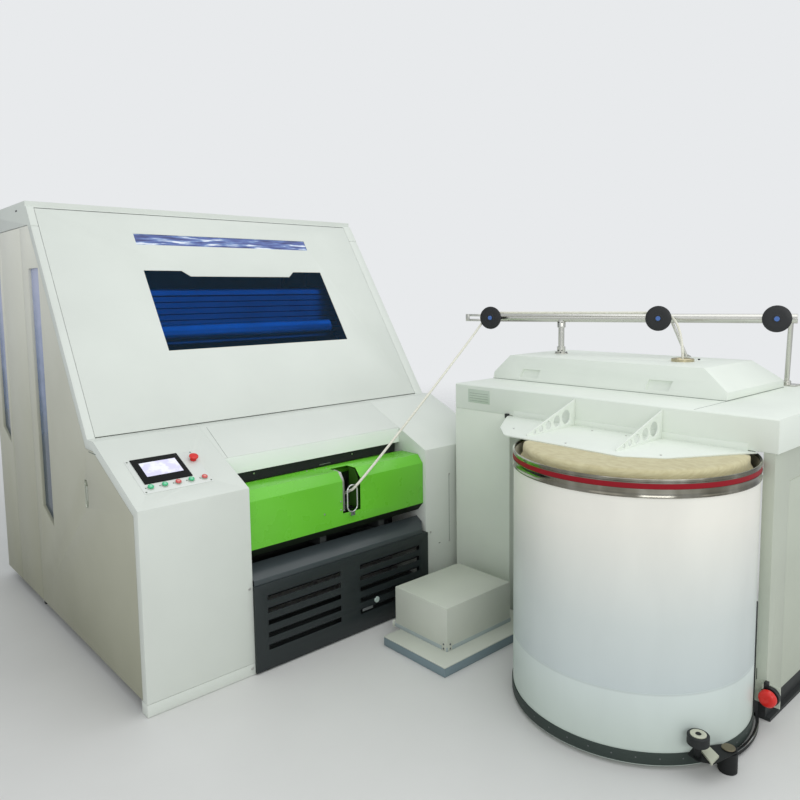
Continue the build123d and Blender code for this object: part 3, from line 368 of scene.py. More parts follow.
CAD_FINISHES = {
    "base_frame": base_paint, "levelling_feet": steel, "side_frame_left": cast_grey,
    "side_frame_right": cast_grey, "main_cylinder": steel, "doffer": steel, "licker_in": steel,
    "flats_brush": roll_steel, "flats_drive": black, "flat_bars": aluminium,
    "calender_roll_left": steel, "calender_roll_right": steel, "delivery_beam": base_paint,
    "coiler_floor": base_paint, "coiler_plate": steel, "turntable": steel, "rear_cover": card_paint,
    "side_panels_right": side_paint, "side_window_left": side_glass,
}
for name, material in CAD_FINISHES.items():
    nodes[name].data.materials.clear()
    nodes[name].data.materials.append(material)


# Making pieces
MERGED, TURNED_MERGED = 0.00002, 0.000005  # metres between corners that are one
FLAT, SHARP = math.radians(1), math.radians(20)  # faces of one sheet, and edges to round
SHEET_CREASE, CREASE = math.radians(24), math.radians(35)


def meshed(name, bm):
    """Close the mesh under construction into a mesh of its own."""
    mesh = bpy.data.meshes.new(name)
    bm.to_mesh(mesh)
    bm.free()
    return mesh


def show(name, mesh, material, body, *replaced):
    """Put a mesh in the scene as a piece of a body, in place of CAD nodes."""
    piece = bpy.data.objects.new(name, mesh)
    bpy.context.scene.collection.objects.link(piece)
    mesh.materials.clear()
    mesh.materials.append(material)
    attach(piece, body)
    if replaced:
        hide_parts(*replaced)
    return piece


def smoothed(bm, crease):
    """Shade the faces smooth, with hard edges where they meet at more than crease."""
    for face in bm.faces:
        face.smooth = True
    for edge in bm.edges:
        if len(edge.link_faces) == 2 and edge.calc_face_angle() > crease:
            edge.smooth = False


def finished(name, bm, material, body, *replaced, smooth=True):
    """Turn the faces outwards, shade them and show the piece."""
    bmesh.ops.recalc_face_normals(bm, faces=bm.faces)
    if smooth:
        smoothed(bm, CREASE)
    return show(name, meshed(name, bm), material, body, *replaced)


@contextmanager
def building(name, material, body, *replaced, smooth=True):
    """Gives an empty mesh, and shows what was built in it as a piece."""
    bm = bmesh.new()
    yield bm
    finished(name, bm, material, body, *replaced, smooth=smooth)


def second_finish(piece, material, chosen):
    """Give the faces that chosen picks another finish."""
    piece.data.materials.append(material)
    for face in piece.data.polygons:
        if chosen(face):
            face.material_index = 1


def rounded(bm, edges, edge):
    """Round edges by so many millimetres."""
    bmesh.ops.bevel(bm, geom=edges, offset=mm(edge), offset_type="OFFSET", segments=2,
                    profile=0.5, affect="EDGES", clamp_overlap=True, material=-1)


def edged(node, material, edge):
    """The node's own sheet metal with its sharp edges rounded a little."""
    bm = bmesh.new()
    bm.from_mesh(nodes[node].data)
    bmesh.ops.remove_doubles(bm, verts=bm.verts, dist=MERGED)
    bmesh.ops.dissolve_limit(bm, angle_limit=FLAT, verts=bm.verts, edges=bm.edges)
    bmesh.ops.recalc_face_normals(bm, faces=bm.faces)
    if edge:
        corners = [e for e in bm.edges if len(e.link_faces) == 2 and e.calc_face_angle() > SHARP]
        rounded(bm, corners, edge)
    smoothed(bm, SHEET_CREASE)
    body = next(b for b, names in frame["record"]["behaviour"]["bodies"].items() if node in names)
    return show(node + "_sheet", meshed(node + "_sheet", bm), material, body, node)


def placed(origin, x_way, y_way, z_way):
    """The place of a drawing in millimetres whose axes point these ways."""
    turn = Matrix([Vector(way).normalized() * 0.001 for way in (x_way, y_way, z_way)]).transposed()
    return Matrix.Translation(at(*origin)) @ turn.to_4x4()


CARD = placed((0, 0, 0), (1, 0, 0), (0, 1, 0), (0, 0, 1))
ACROSS = placed((0, 0, 0), (0, 1, 0), (0, 0, 1), (1, 0, 0))  # drawn in Y and Z, standing along X


def slab(bm, x0, x1, y0, y1, z0, z1, edge=0.0, place=CARD):
    """A box between two corners, its edges rounded by edge."""
    middle = Vector((x0 + x1, y0 + y1, z0 + z1)) / 2
    span = Matrix.Diagonal((abs(x1 - x0), abs(y1 - y0), abs(z1 - z0), 1))
    made = bmesh.ops.create_cube(bm, size=1.0, matrix=place @ Matrix.Translation(middle) @ span)
    if edge:
        rounded(bm, list({e for v in made["verts"] for e in v.link_edges}), edge)


def pulled(bm, corners, way):
    """A solid made by pulling the face between corners along way."""
    face = bm.faces.new([bm.verts.new(corner) for corner in corners])
    made = bmesh.ops.extrude_face_region(bm, geom=[face])
    moved = [v for v in made["geom"] if isinstance(v, bmesh.types.BMVert)]
    bmesh.ops.translate(bm, verts=moved, vec=way)


def prism(bm, outline, low, high, place=CARD):
    """A flat piece cut to an outline, standing from low to high."""
    rise = place.to_3x3() @ Vector((0, 0, high - low))
    pulled(bm, [place @ Vector((x, y, low)) for x, y in outline], rise)


def turned(bm, centre, axis, outline, steps):
    """Spin an outline of (radius, distance along the axis) points round the axis."""
    turn = UP.rotation_difference(Vector(axis)).to_matrix().to_4x4()
    place = Matrix.Translation(at(*centre)) @ turn
    ring = [bm.verts.new(place @ Vector((mm(r), 0, mm(z)))) for r, z in outline]
    edges = [bm.edges.new(pair) for pair in zip(ring, ring[1:])]
    way = (place.to_3x3() @ UP).normalized()
    bmesh.ops.spin(bm, geom=ring + edges, cent=at(*centre), axis=way, angle=2 * math.pi,
                   steps=steps, use_merge=True)
    bmesh.ops.remove_doubles(bm, verts=bm.verts, dist=TURNED_MERGED)


def stub(bm, centre, axis, radius, length, edge, steps, bore=0.0):
    """A short round piece with rounded rims, standing on centre."""
    outline = [(bore, 0), (radius - edge, 0), (radius, edge), (radius, length - edge),
               (radius - edge, length), (bore, length)]
    if bore:
        outline.append((bore, 0))
    turned(bm, centre, axis, outline, steps)


def around(x, y, radius, degrees):
    """A place on a circle in plan."""
    turn = math.radians(degrees)
    return x + radius * math.cos(turn), y + radius * math.sin(turn)


# Slopes of the card: the hood and the console
HOOD_FOOT, HOOD_DIR = (574.0, 1140.0), Vector((0.5449, 0.8385))
CONSOLE_FOOT, CONSOLE_DIR = (0.0, 913.0), Vector((0.9077, 0.4197))
HOOD_OUT = (0, -HOOD_DIR.y, HOOD_DIR.x)
CONSOLE_OUT = (0, -CONSOLE_DIR.y, CONSOLE_DIR.x)
CONSOLE = placed((0, *CONSOLE_FOOT), (1, 0, 0), (0, *CONSOLE_DIR), CONSOLE_OUT)


def on_slope(foot, way, x, s, out):
    """A point at x, s up the slope and out from its face, in card millimetres."""
    return (x, foot[0] + s * way.x - out * way.y, foot[1] + s * way.y + out * way.x)


def hood(x, s, out):
    """A point on the hood's slope."""
    return on_slope(HOOD_FOOT, HOOD_DIR, x, s, out)


def console(x, s, out=0.0):
    """A point on the console's slope."""
    return on_slope(CONSOLE_FOOT, CONSOLE_DIR, x, s, out)


# Card casing
for node in ("tower_left", "tower_right", "centre_panel", "hood_door", "roof"):
    edged(node, card_paint, 1.2)
edged("side_door_left", side_paint, 1.2)
rear_panels = edged("rear_panels_left", side_paint, 1.2)
green_cover = edged("green_cover", green_paint, 1.0)
edged("grey_shelf", shelf_paint, 1.0)
edged("vent_panel", vent_paint, 0.8)
edged("wire_eye", chrome, 0)
edged("door_handle_left", handle_metal, 0.8)


def in_rear_window(face):
    """Whether a face belongs to the pane in the rear left panels."""
    x, y, z = in_card(face.center)
    return x > 14.5 and 1955 < y < 2135 and 912 < z < 1980


def in_cover_fold(face):
    """Whether a face looks down inside the green cover's lower edge, where dark paint stands for the shade.
    """
    return face.normal.z < -0.3 and face.center.z < 0.66


second_finish(rear_panels, side_glass, in_rear_window)
# The downward faces of the green cover get the painted shade
second_finish(green_cover, cover_painted_shade, in_cover_fold)

VENT_FACE, SHADE_PLATE_FACE, COVER_TOP = -15, 262, 884


def delivery():
    """Screw heads on the towers and the green cover, and what shows above the cover and in its slot, with a
    dark plate as painted shade behind the lip.
    """
    with building("tower_screws", steel, "machine") as bm:
        for x, z in ((512, 429), (512, 36), (1705, 425), (1862, 742), (1862, 338)):
            stub(bm, (x, 0, z), FRONT, 7, 3, 1.0, 16)
    with building("cover_screws", steel, "machine") as bm:
        for x, z in ((970, 686), (1076, 732), (1075, 687)):
            stub(bm, (x, 20, z), FRONT, 5, 2.5, 0.8, 16)
        for x, y in ((973, 176), (1021, 171), (1081, 151)):
            stub(bm, (x, y, COVER_TOP), UP, 5, 2.5, 0.8, 16)
    # A dark plate stands in for the shade in the gap behind the lip
    with building("delivery_shade_plate", base_paint, "machine") as bm:
        slab(bm, 532, 1668, SHADE_PLATE_FACE, SHADE_PLATE_FACE + 2, 870, 1000)
    with building("shade_plate_screws", steel, "machine") as bm:
        for x, z in ((708, 905), (1343, 904), (1632, 918)):
            stub(bm, (x, SHADE_PLATE_FACE, z), FRONT, 5, 2.5, 0.8, 12)
        slab(bm, 1114, 1189, SHADE_PLATE_FACE - 6, SHADE_PLATE_FACE, 878, 882, 1)
    # The lip's face, given the brighter paint as painted light
    with building("delivery_lip", lip_painted_light, "machine") as bm:
        fold = [(226.8, 930), (230, 930), (230, 944.9), (227.9, 944.9), (227.9, 1015.5), (226.8, 1015.5)]
        prism(bm, fold, 529.7, 1670.3, ACROSS)
    with building("console_seam", mark_grey, "machine") as bm:
        prism(bm, [(544.4, 252), (546.2, 252), (567.4, 528), (565.6, 528)], -0.3, 0.2, CONSOLE)
    with building("slot_guide", steel, "machine") as bm:
        bend = [(118, 879), (64, 875), (37, 835), (33, 760), (33, 672)]
        back = [(35, 672), (35, 760), (39, 834), (65, 873), (118, 877)]
        prism(bm, bend + back, 1092, 1112, ACROSS)
    # Cheeks inside the slot, painted darker green as shade
    with building("slot_cheeks", slot_painted_shade, "machine") as bm:
        cheek = [(118, 878), (66, 874), (40, 834), (36, 760), (36, 672), (118, 672)]
        for x in (1206.6, 1090.2):
            prism(bm, cheek, x, x + 1, ACROSS)


def casing_trim():
    """Seams of the casing, the slot in the roof's band and the vent panel's latch and label."""
    with building("tower_seam", mark_grey, "machine") as bm:
        slab(bm, 1860.5, 1863.5, -0.4, 0.2, 345, 736)
        slab(bm, 1772, 1786, -0.4, 0.2, 340, 345)
    with building("side_door_seam", mark_grey, "side_door") as bm:
        slab(bm, -0.3, 0.2, 465, 560, 1081, 1085)
    with building("roof_band_slot", black, "machine") as bm:
        slab(bm, -0.3, 0.2, 1500, 1536, 2288, 2297)
    with building("vent_latch", latch_grey, "machine") as bm:
        stub(bm, (1276, VENT_FACE, 154), FRONT, 17, 8, 3, 32)
    with building("vent_label", cast_grey, "machine") as bm:
        slab(bm, 1178, 1250, VENT_FACE - 1.2, VENT_FACE, 114, 128, 0.4)


delivery()
casing_trim()

# Controls: places along the console and up its slope, heights over the console
BUTTONS, BUTTON_ROW, RED_BUTTONS = (111, 176, 239, 302, 367), 134, (3, 5)
STOP_PLACE = (378, 280)
PLATE_TOP, CAP_LOW, CAP_HEIGHT = 2, 9.5, 5
CENTRE_REACH = 0.0065  # metres from the middle of a cap's face to the edge of its pale centre


def controls():
    """The control plate with its display, buttons and emergency stop."""
    with building("control_plate_face", plate_face, "machine", "control_plate") as bm:
        slab(bm, 72, 400, 100, 350, 0, PLATE_TOP, 0.6, CONSOLE)
    with building("plate_screws_and_marks", mark_grey, "machine") as bm:
        for x, s in ((82, 110), (390, 110), (82, 340), (390, 340)):
            stub(bm, console(x, s, PLATE_TOP), CONSOLE_OUT, 4, 1.5, 0.5, 16)
        for x in BUTTONS:
            slab(bm, x - 23, x - 18, BUTTON_ROW, BUTTON_ROW + 8, PLATE_TOP, PLATE_TOP + 0.3, 0, CONSOLE)
    with building("button_collars", collar_finish, "machine") as bm:
        for x in BUTTONS:
            stub(bm, console(x, BUTTON_ROW, PLATE_TOP), CONSOLE_OUT, 15.8, 3, 1.0, 40, 6.3)
    with building("emergency_collar", stop_red, "machine") as bm:
        stub(bm, console(*STOP_PLACE, PLATE_TOP), CONSOLE_OUT, 15, 11, 1.0, 32, 9.3)
    with building("display_bezel", bezel_black, "machine", "display") as bm:
        slab(bm, 96, 322, 162, 348, PLATE_TOP, 7, 1.5, CONSOLE)
    with building("display_face", screen_glow, "machine") as bm:
        slab(bm, 125, 298, 208, 312, 6.9, 7.2, 0, CONSOLE)
    top = CAP_LOW + CAP_HEIGHT
    for i, x in enumerate(BUTTONS, 1):
        bm = bmesh.new()
        turned(bm, console(x, BUTTON_ROW), CONSOLE_OUT, [
            (0, -12), (6, -12), (6, CAP_LOW), (13.4, CAP_LOW), (13.4, CAP_LOW + 2.6),
            (12.2, CAP_LOW + 4.2), (6.5, top), (0, top)], 40)
        ring, centre = (red_button, red_centre) if i in RED_BUTTONS else (green_button, green_centre)
        cap = finished(f"button_{i}_cap", bm, ring, f"push_button_{i}", f"push_button_{i}")
        middle = at(*console(x, BUTTON_ROW, top))
        second_finish(cap, centre, lambda face: (face.center - middle).length < CENTRE_REACH)
    with building("emergency_head", stop_red, "emergency_stop", "emergency_stop") as bm:
        turned(bm, console(*STOP_PLACE), CONSOLE_OUT, [
            (0, -14), (9, -14), (9, 18.5), (19, 18.5), (22, 20), (22, 23.5), (20.5, 25.6),
            (16, 26.7), (8, 27), (0, 27)], 48)


controls()

PANE_FACE, PANE_THICK = -3.2, 4.6


def pane(name, x0, x1, s0, s1, glass):
    """A window of the hood, let in a little behind its face."""
    bm = bmesh.new()
    corners = [at(*hood(x, s, PANE_FACE)) for x, s in ((x0, s0), (x1, s0), (x1, s1), (x0, s1))]
    pulled(bm, corners, -Vector(HOOD_OUT).normalized() * mm(PANE_THICK))
    piece = finished(name, bm, glass, "hood_door", "hood_windows", smooth=False)


pane("big_window", 521, 1775, 434, 992, hood_glass)
pane("strip_window", 527, 1743, 1143, 1250, strip_glass)

# Coiler casing
edged("coiler_head", coiler_paint, 3.0)
edged("coiler_cabinet", cabinet_paint, 3.0)
edged("coiler_stand", stand_paint, 1.5)
edged("lid", coiler_paint, 2.5)
edged("can_guard", coiler_paint, 1.0)

HEAD_LEFT, HEAD_TOP, LID_TOP, GUARD_TOP = 1885, 1285, 1430, 1140


def coiler_trim():
    """The head's blank plate, its top's seams and strip, and small dark fittings and screws."""
    with building("bare_nameplate", plate_grey, "machine") as bm:
        slab(bm, HEAD_LEFT - 1.6, HEAD_LEFT, -298, -138, 1185, 1261, 0.6)
    with building("nameplate_lines", mark_grey, "machine") as bm:
        for z in range(1196, 1252, 14):
            slab(bm, HEAD_LEFT - 1.8, HEAD_LEFT - 1.5, -286, -150, z, z + 1.5)
    with building("table_seam", mark_grey, "machine") as bm:
        slab(bm, 1893, 2215, -1463.5, -1461, HEAD_TOP - 0.4, HEAD_TOP + 0.3)
        slab(bm, 2214.3, 2900.7, -1462.7, -41.3, HEAD_TOP + 1, HEAD_TOP + 3)
    with building("lid_foot_strip", coiler_paint, "machine") as bm:
        slab(bm, 2166, 2216, -1460, -44, HEAD_TOP - 0.4, HEAD_TOP + 0.8)
    with building("coiler_dark_fittings", black, "machine") as bm:
        slab(bm, HEAD_LEFT - 0.4, HEAD_LEFT + 0.1, -1768.5, -1765.5, 150, 224)
        slab(bm, HEAD_LEFT - 13, HEAD_LEFT, -440, -416, 1126, 1150, 1)
        for x, y in ((2635, -1126), (2615, -1010)):
            stub(bm, (x, y, LID_TOP), UP, 6, 7, 1, 16)
    with building("guard_screws", steel, "machine") as bm:
        for x, y in ((1560, -1490), (1490, -1080), (1600, -700), (1820, -1180), (1820, -1000)):
            stub(bm, (x, y, GUARD_TOP), UP, 5, 2.5, 0.8, 12)


coiler_trim()

# Can: shell, rings and cotton
CAN_X, CAN_Y = 1649, -1308
CAN = (CAN_X, CAN_Y, 0)
WALL, WALL_IN, RING_IN, RING_OUT, RIM = 503, 500, 503.2, 508, 1110
CAN_STEPS, COTTON_STEPS = 128, 160
COTTON_TOP, COTTON_PRESSED = 1143, 1128
LOOSE_ABOVE, EDGE_BEYOND = 1090, 400  # the height and radius past which the cotton is ruffled
RUFFLE_SIZE, RUFFLE_DEPTH = 34, 2.4
PRESS_CLEAR, PRESS_EASE = 4, 26  # distances from what presses on it over which the cotton rises
COILER_FACE = 1871
GUARD = [(1885, -1738), (1527, -1528), (1433, -1380), (1454, -760), (1593, -620), (1840, -456)]


def outside_guard(x, y):
    """How far a place on the cotton is from what presses on it: the guard and the coiler."""
    inside = x > COILER_FACE
    nearest = abs(x - COILER_FACE)
    for (x0, y0), (x1, y1) in zip(GUARD, GUARD[1:]):
        way, here = Vector((x1 - x0, y1 - y0)), Vector((x - x0, y - y0))
        share = min(max(here.dot(way) / way.length_squared, 0), 1)
        nearest = min(nearest, (here - way * share).length)
        if (y0 > y) != (y1 > y) and x > x0 + (y - y0) / (y1 - y0) * (x1 - x0):
            inside = True
    return -nearest if inside else nearest


def ruffled(bm):
    """Ruffle the cotton's edge and top, and press it down under the guard and the coiler."""
    for v in bm.verts:
        x, y, z = in_card(v.co)
        if z <= LOOSE_ABOVE:
            continue
        ruffle = noise_fields.noise(Vector((x, y, z)) / RUFFLE_SIZE) * RUFFLE_DEPTH
        outward = Vector((x - CAN_X, y - CAN_Y, 0))
        if outward.length > EDGE_BEYOND:
            v.co += outward.normalized() * mm(ruffle)
        free = min(max((outside_guard(x, y) - PRESS_CLEAR) / PRESS_EASE, 0), 1)
        if z > COTTON_PRESSED:
            swell = (z - COTTON_PRESSED) * free * free * (3 - 2 * free)
            v.co.z = mm(min(COTTON_PRESSED + swell + ruffle * 0.5, COTTON_TOP))


def can():
    """The full can."""
    with building("can_wall", can_plastic, "machine", "can_shell") as bm:
        turned(bm, CAN, UP, [
            (0, 15), (WALL, 15), (WALL, 298), (WALL - 1, 301), (WALL, 304), (WALL, RIM), (WALL_IN, RIM),
            (WALL_IN, 19), (0, 19)], CAN_STEPS)
    with building("can_foot_ring", base_rubber, "machine", "can_base_ring") as bm:
        turned(bm, CAN, UP, [
            (RING_IN, 20), (507, 20), (RING_OUT, 24), (RING_OUT, 62), (507, 67), (RING_IN, 67),
            (RING_IN, 20)], CAN_STEPS)
    with building("can_rivets", cast_grey, "machine") as bm:
        for degrees in range(4, 364, 10):
            spot = (*around(CAN_X, CAN_Y, 507.5, degrees), 46)
            stub(bm, spot, (*around(0, 0, 1, degrees), 0), 3, 1.2, 0.4, 10)
    with building("can_chrome_rings", ring_chrome, "machine", "can_rim") as bm:
        turned(bm, CAN, UP, [
            (RING_IN, 1051), (507, 1051), (RING_OUT, 1053), (RING_OUT, 1056), (506, 1060), (506, 1078),
            (RING_OUT, 1081), (RING_OUT, 1085), (RING_IN, 1085), (RING_IN, 1051)], CAN_STEPS)
        turned(bm, CAN, UP, [
            (RING_IN, 1105), (506, 1105), (506, 1109), (RING_OUT, 1111), (RING_OUT, 1119), (505, 1122),
            (500, 1122), (498, 1120), (498, RIM), (RING_IN, RIM), (RING_IN, 1105)], CAN_STEPS)
    with building("can_red_band", red_paint, "machine") as bm:
        turned(bm, CAN, UP, [
            (RING_IN, 1085.2), (506.5, 1085.2), (506.5, 1104.8), (RING_IN, 1104.8), (RING_IN, 1085.2)],
            CAN_STEPS)
    with building("cotton_stack", cotton, "machine", "sliver_stack") as bm:
        side = [(0, 19), (486, 19), (486, 1060), (474, 1080), (464, 1096), (463, 1104)]
        side += [(463, z) for z in range(1108, 1128, 4)]
        shoulder = [(461, 1130), (457, 1136), (450, 1140), (440, 1142)]
        top = [(radius, COTTON_TOP) for radius in range(430, 0, -10)] + [(0, COTTON_TOP)]
        turned(bm, CAN, UP, side + shoulder + top, COTTON_STEPS)
        ruffled(bm)


can()

# Guide bar and pulleys
BAR_FROM, BAR_TURN = Vector((2380, 80, 1648)), math.radians(19.1)
ALONG = Vector((math.sin(BAR_TURN), -math.cos(BAR_TURN), 0))
OUT = ALONG.cross(UP)
PULLEY_OUT, PULLEY_UP, PULLEY_ALONG = 57, 2, (0, 999, 1585)
STAY_X, STAY_Y = 2775, -985
END_STAY = (3000, -1440)


def by_bar(along, up=0.0, out=0.0):
    """A point beside the bar, in card millimetres."""
    return tuple(BAR_FROM + ALONG * along + UP * up + OUT * out)


def bar_rod(bm, start, end, radius, edge=0.5, steps=24):
    """A straight rod between two places."""
    way = Vector(end) - Vector(start)
    stub(bm, start, way, radius, way.length, edge, steps)


POST_X, POST_Y, _ = by_bar(425)


def guide_bar():
    """The bar on its post and stays, its slotted end, hub caps and bolts."""
    with building("guide_bar_steel", drawn_steel, "machine", "guide_bar") as bm:
        bar_rod(bm, by_bar(-60), by_bar(1680), 25, 2, 40)
        turned(bm, (POST_X, POST_Y, LID_TOP), UP, [
            (0, 0), (39, 0), (40, 1), (40, 7), (38, 8), (25, 8), (25, 43), (23, 45), (18, 45),
            (18, 160), (23, 160), (25, 162), (25, 208), (18, 218), (0, 218)], 40)
        bar_rod(bm, by_bar(1050), (STAY_X, STAY_Y, LID_TOP + 8), 8)
        turned(bm, (STAY_X, STAY_Y, LID_TOP), UP, [
            (0, 0), (25, 0), (26, 1), (26, 5), (25, 6), (13, 6), (13, 13), (12, 14), (0, 14)], 32)
        bar_rod(bm, by_bar(1650), (*END_STAY, HEAD_TOP + 18), 13)
        stub(bm, (*END_STAY, HEAD_TOP), UP, 22, 26, 2, 24)
        slab(bm, 2960, 3045, -1500, -1390, HEAD_TOP, HEAD_TOP + 8, 1)
        for along in PULLEY_ALONG:
            bar_rod(bm, by_bar(along, PULLEY_UP, 0), by_bar(along, PULLEY_UP, 29), 14, 1)
            bar_rod(bm, by_bar(along, PULLEY_UP, 29), by_bar(along, PULLEY_UP, 97), 8, 0.5)
    with building("bar_end_bracket", drawn_steel, "machine") as bm:
        beside = placed(tuple(BAR_FROM), ALONG, UP, OUT)
        for corners in ((-205, -180, -23, 23), (-85, -60, -23, 23), (-181, -84, 8, 23), (-181, -84, -23, -8)):
            slab(bm, *corners, -4, 4, 0.8, beside)
    with building("pulley_hub_caps", hub_blue, "machine") as bm:
        for along in PULLEY_ALONG:
            bar_rod(bm, by_bar(along, PULLEY_UP, 96), by_bar(along, PULLEY_UP, 103), 13, 2)
    with building("post_bolts", black, "machine") as bm:
        for degrees in range(30, 390, 90):
            stub(bm, (*around(POST_X, POST_Y, 31, degrees), LID_TOP + 8), UP, 4.5, 5, 0.8, 12)
        for z in (1452, 1622):
            for along in (-11, 11):
                foot = Vector((POST_X, POST_Y, z)) + OUT * 23 + ALONG * along
                stub(bm, tuple(foot), OUT, 4, 3, 0.5, 12)
        for degrees in range(20, 380, 120):
            stub(bm, (*around(STAY_X, STAY_Y, 20, degrees), LID_TOP + 6), UP, 3, 3, 0.5, 10)


guide_bar()

for number, along in enumerate(PULLEY_ALONG, 1):
    with building(f"pulley_{number}_wheel", black, f"pulley_{number}", f"pulley_{number}") as bm:
        turned(bm, by_bar(along, PULLEY_UP, PULLEY_OUT), -OUT, [
            (8.1, -38), (20, -38), (22, -36.5), (40, -36), (66, -35.4), (69, -34), (70, -31.5),
            (69, -28.5), (40, -24), (22, -18), (22, 18), (38, 22), (40, 24), (38, 27), (8.1, 27),
            (8.1, -38)], 64)

INLET_X, INLET_Y = 2516, -1094
with building("inlet_brass_ring", brass, "machine", "inlet_ring") as bm:
    turned(bm, (INLET_X, INLET_Y, LID_TOP), UP, [
        (0, 6), (36, 6), (40, 9), (42, 15), (46, 16), (54, 16), (58, 13), (58, 0), (21, 0), (21, -30),
        (0, -30)], 56)

# Arm, its roller and rail, and the stop button
ROLLER, PIVOT = (1347, -1775), (1473, -1833)
KNOB_Y, KNOB_Z = -1830, 134


def can_arc(outer, inner, first, last):
    """Outline of a strip bent round the can, between two angles in degrees."""
    angles = range(first, last + 1, 2)
    return ([around(CAN_X, CAN_Y, outer, degrees) for degrees in angles]
            + [around(CAN_X, CAN_Y, inner, degrees) for degrees in reversed(angles)])


def swing_arm():
    """The arm's dark web with its pale bar, the roller, and the column and rail below."""
    with building("arm_bar", arm_paint, "change_arm", "change_arm", smooth=False) as bm:
        prism(bm, [(1389, -1758), (1332, -1834), (1394, -1833), (1427, -1777)], 84, 94.2)
    with building("arm_web", dark_iron, "change_arm") as bm:
        prism(bm, [
            (1473, -1866), (1344, -1836), (1318, -1790), (1331, -1744), (1380, -1740), (1500, -1814),
            (1508, -1833), (1500, -1858)], 84.2, 86.5)
        stub(bm, (*ROLLER, 86), UP, 13, 46, 1, 24)
        stub(bm, (*ROLLER, 130), UP, 10, 46, 1, 24)
    with building("pivot_cap", worn_bronze, "machine") as bm:
        stub(bm, (*PIVOT, 86.7), UP, 25, 6, 2, 40)
    with building("rail_and_column", dark_iron, "machine", "arm_rail") as bm:
        prism(bm, can_arc(528, 516, -111, -61), 12, 28)
        prism(bm, [(1460, -1858), (1490, -1860), (1500, -1800), (1460, -1800)], 0, 27.5)
        turned(bm, (*PIVOT, 0), UP, [
            (0, 0), (33, 0), (34, 1), (34, 76), (32, 78), (22, 78), (22, 84), (0, 84)], 48)
    with building("rail_edge", chrome, "machine", smooth=False) as bm:
        prism(bm, can_arc(528, 525, -109, -71), 28, 29)
    with building("roller_tyre", tyre_black, "arm_roller", "arm_roller") as bm:
        turned(bm, (*ROLLER, 0), UP, [
            (10.1, 134), (37, 134), (40, 137), (40, 169), (37, 172), (30, 172), (30, 171), (10.1, 171),
            (10.1, 134)], 48)
    with building("roller_face", arm_paint, "arm_roller") as bm:
        turned(bm, (*ROLLER, 0), UP, [
            (11, 171), (29, 171), (29, 174), (26, 175), (13, 175), (11, 174), (11, 171)], 40)


def stop_knob():
    """The coiler's round stop button and the body that holds it."""
    with building("stop_knob", stop_red, "stop_button", "stop_button") as bm:
        turned(bm, (1801, KNOB_Y, KNOB_Z), RIGHT, [
            (0, 24), (5, 22), (26, 23), (31, 26), (35, 32), (35, 46), (12, 51), (12, 69), (0, 69)], 48)
    with building("stop_button_body", black, "machine") as bm:
        stub(bm, (1858, KNOB_Y, KNOB_Z), RIGHT, 38, 21, 2, 40, 12.5)
        slab(bm, 1857, 1879, -1822, -1806, 160, 190, 2)


swing_arm()
stop_knob()

# Drive box on its base plate
BASE, BASE_TOP = (1163, 1885, -645, -205), 50


def drive_box():
    """The drive box on its base plate, with its seal, brackets and screws."""
    with building("drive_plate", drive_blue, "machine", "drive_box") as bm:
        slab(bm, *BASE, 0, 44, 3)
    with building("drive_case", drive_green, "machine") as bm:
        slab(bm, *BASE, 44.2, BASE_TOP, 1.5)
        slab(bm, 1280, 1765, -545, -165, BASE_TOP, 270, 5)
    with building("drive_seal", drive_strip, "machine") as bm:
        slab(bm, 1278.6, 1766.4, -546.4, -163.6, BASE_TOP + 0.2, 70, 0.6)
    with building("drive_brackets", drive_green, "machine") as bm:
        slab(bm, 1277, 1279, -540, -512, 52, 94, 0.5)
        slab(bm, 1286, 1314, -548, -546, 52, 94, 0.5)
        slab(bm, 1262, 1280, -164, -162, BASE_TOP, 88, 0.5)
    with building("drive_screws", cast_grey, "machine") as bm:
        for z in (62, 84):
            stub(bm, (1277, -526, z), -RIGHT, 5, 2.5, 0.5, 12)
            stub(bm, (1300, -548, z), FRONT, 5, 2.5, 0.5, 12)


drive_box()

# Sliver, held taut from the calender rolls to the inlet
SLIVER = [
    (1150, 163, 703), (1146, 60, 764), (1146, -26, 800), by_bar(-74, -56, 77), by_bar(-52, 7, 57),
    by_bar(-30, 33, 57), by_bar(40, 33, 57), by_bar(959, 33, 57), by_bar(1049, 33, 57),
    by_bar(1104, -37, 67), (INLET_X, INLET_Y, 1500), (INLET_X, INLET_Y, 1436),
]
line = bpy.data.curves.new("sliver_line", "CURVE")
line.dimensions = "3D"
strand = line.splines.new("NURBS")
strand.points.add(len(SLIVER) - 1)
for point, spot in zip(strand.points, SLIVER):
    point.co = (*at(*spot), 1.0)
strand.order_u = 3
strand.use_endpoint_u = True
strand.resolution_u = 8
line.bevel_depth = 0.007
line.bevel_resolution = 4
line.use_fill_caps = True
line.materials.append(sliver_cotton)
sliver = bpy.data.objects.new("sliver_strand", line)
bpy.context.scene.collection.objects.link(sliver)
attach(sliver, "machine")
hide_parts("sliver")

# Floor
FLOOR_SIZE = 40  # metres
bm = bmesh.new()
bmesh.ops.create_grid(bm, x_segments=1, y_segments=1, size=FLOOR_SIZE)
mesh = meshed("floor", bm)
mesh.materials.append(floor_paint)
floor = bpy.data.objects.new("floor", mesh)
bpy.context.scene.collection.objects.link(floor)

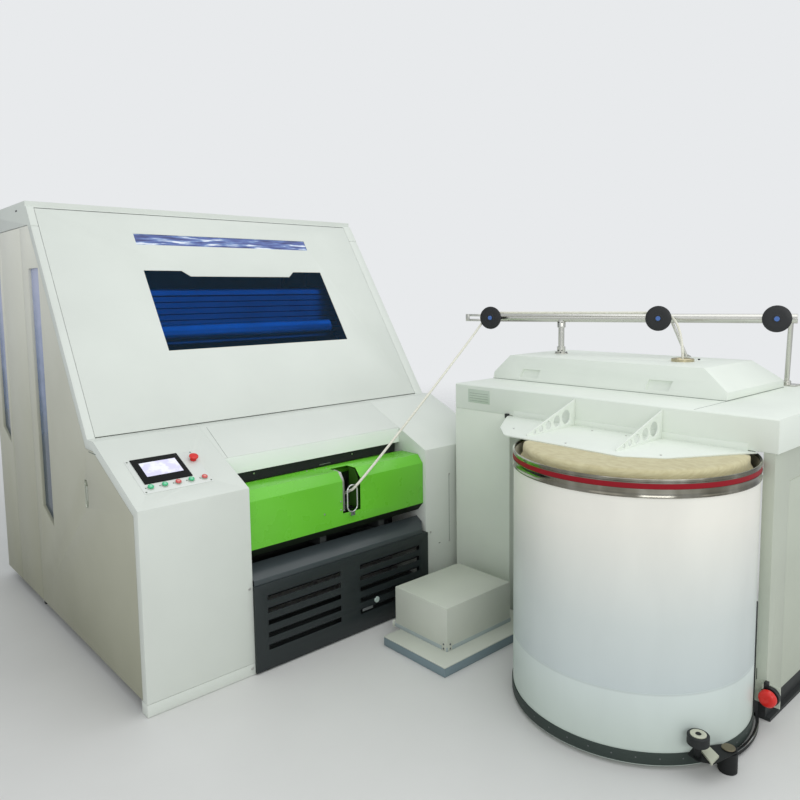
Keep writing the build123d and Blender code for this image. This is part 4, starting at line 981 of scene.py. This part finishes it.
# Air and backdrop: the camera and the glass see the backdrop, the rest the dimmer air
world = bpy.data.worlds.new("room")
bpy.context.scene.world = world
world.use_nodes = True
tree = world.node_tree
light_path = tree.nodes.new("ShaderNodeLightPath")
air = tree.nodes["Background"]
air.inputs["Color"].default_value = colour(236, 240, 244)
air.inputs["Strength"].default_value = 0.72
backdrop = tree.nodes.new("ShaderNodeBackground")
backdrop.inputs["Color"].default_value = colour(232, 234, 236)
backdrop.inputs["Strength"].default_value = 1.0
seen = maths(tree, "MAXIMUM", light_path.outputs["Is Camera Ray"],
             light_path.outputs["Is Transmission Ray"])
choose = tree.nodes.new("ShaderNodeMixShader")
tree.links.new(seen, choose.inputs["Fac"])
tree.links.new(air.outputs["Background"], choose.inputs[1])
tree.links.new(backdrop.outputs["Background"], choose.inputs[2])
tree.links.new(choose.outputs["Shader"], tree.nodes["World Output"].inputs["Surface"])


def softbox(name, place, target, width, height, power):
    """A soft lamp at a place, in metres, that faces its target."""
    lamp = bpy.data.lights.new(name, "AREA")
    lamp.shape = "RECTANGLE"
    lamp.size, lamp.size_y, lamp.energy = width, height, power
    holder = bpy.data.objects.new(name, lamp)
    facing = (Vector(place) - Vector(target)).to_track_quat("Z", "Y").to_matrix().to_4x4()
    holder.matrix_world = Matrix.Translation(place) @ facing
    bpy.context.scene.collection.objects.link(holder)


softbox("ceiling_lamps", (1.0, -2.0, 6.5), (0.0, -0.2, 0.8), 8, 6, 150)
softbox("front_fill", (2.5, -7.5, 3.5), (0.2, 0, 1.0), 5, 4, 45)
softbox("left_fill", (-7.0, -2.5, 3.5), (0, 0, 1.0), 4, 4, 30)
softbox("camera_fill", (-3.6, -6.2, 3.2), (0.6, -0.8, 0.9), 3, 2.5, 80)

# Camera, where the photograph was taken from
YAW, TILT, ROLL = math.radians(41.820), math.radians(5.794), math.radians(-0.799)
ahead = Vector((math.sin(YAW) * math.cos(TILT), math.cos(YAW) * math.cos(TILT), -math.sin(TILT)))
right = Vector((math.cos(YAW), -math.sin(YAW), 0))
up = right.cross(ahead)
right_rolled = right * math.cos(ROLL) + up * math.sin(ROLL)
up_rolled = up * math.cos(ROLL) - right * math.sin(ROLL)
lens = bpy.data.cameras.new("photo_camera")
lens.sensor_width = 36
lens.lens = 32.30
lens.shift_x, lens.shift_y = 0.00135, -0.0405
camera = bpy.data.objects.new("photo_camera", lens)
turn = Matrix((right_rolled, up_rolled, -ahead)).transposed().to_4x4()
camera.matrix_world = Matrix.Translation(at(-1128.9, -2912.6, 1801.3)) @ turn
bpy.context.scene.collection.objects.link(camera)
bpy.context.scene.camera = camera
bpy.context.scene.view_settings.view_transform = "Standard"
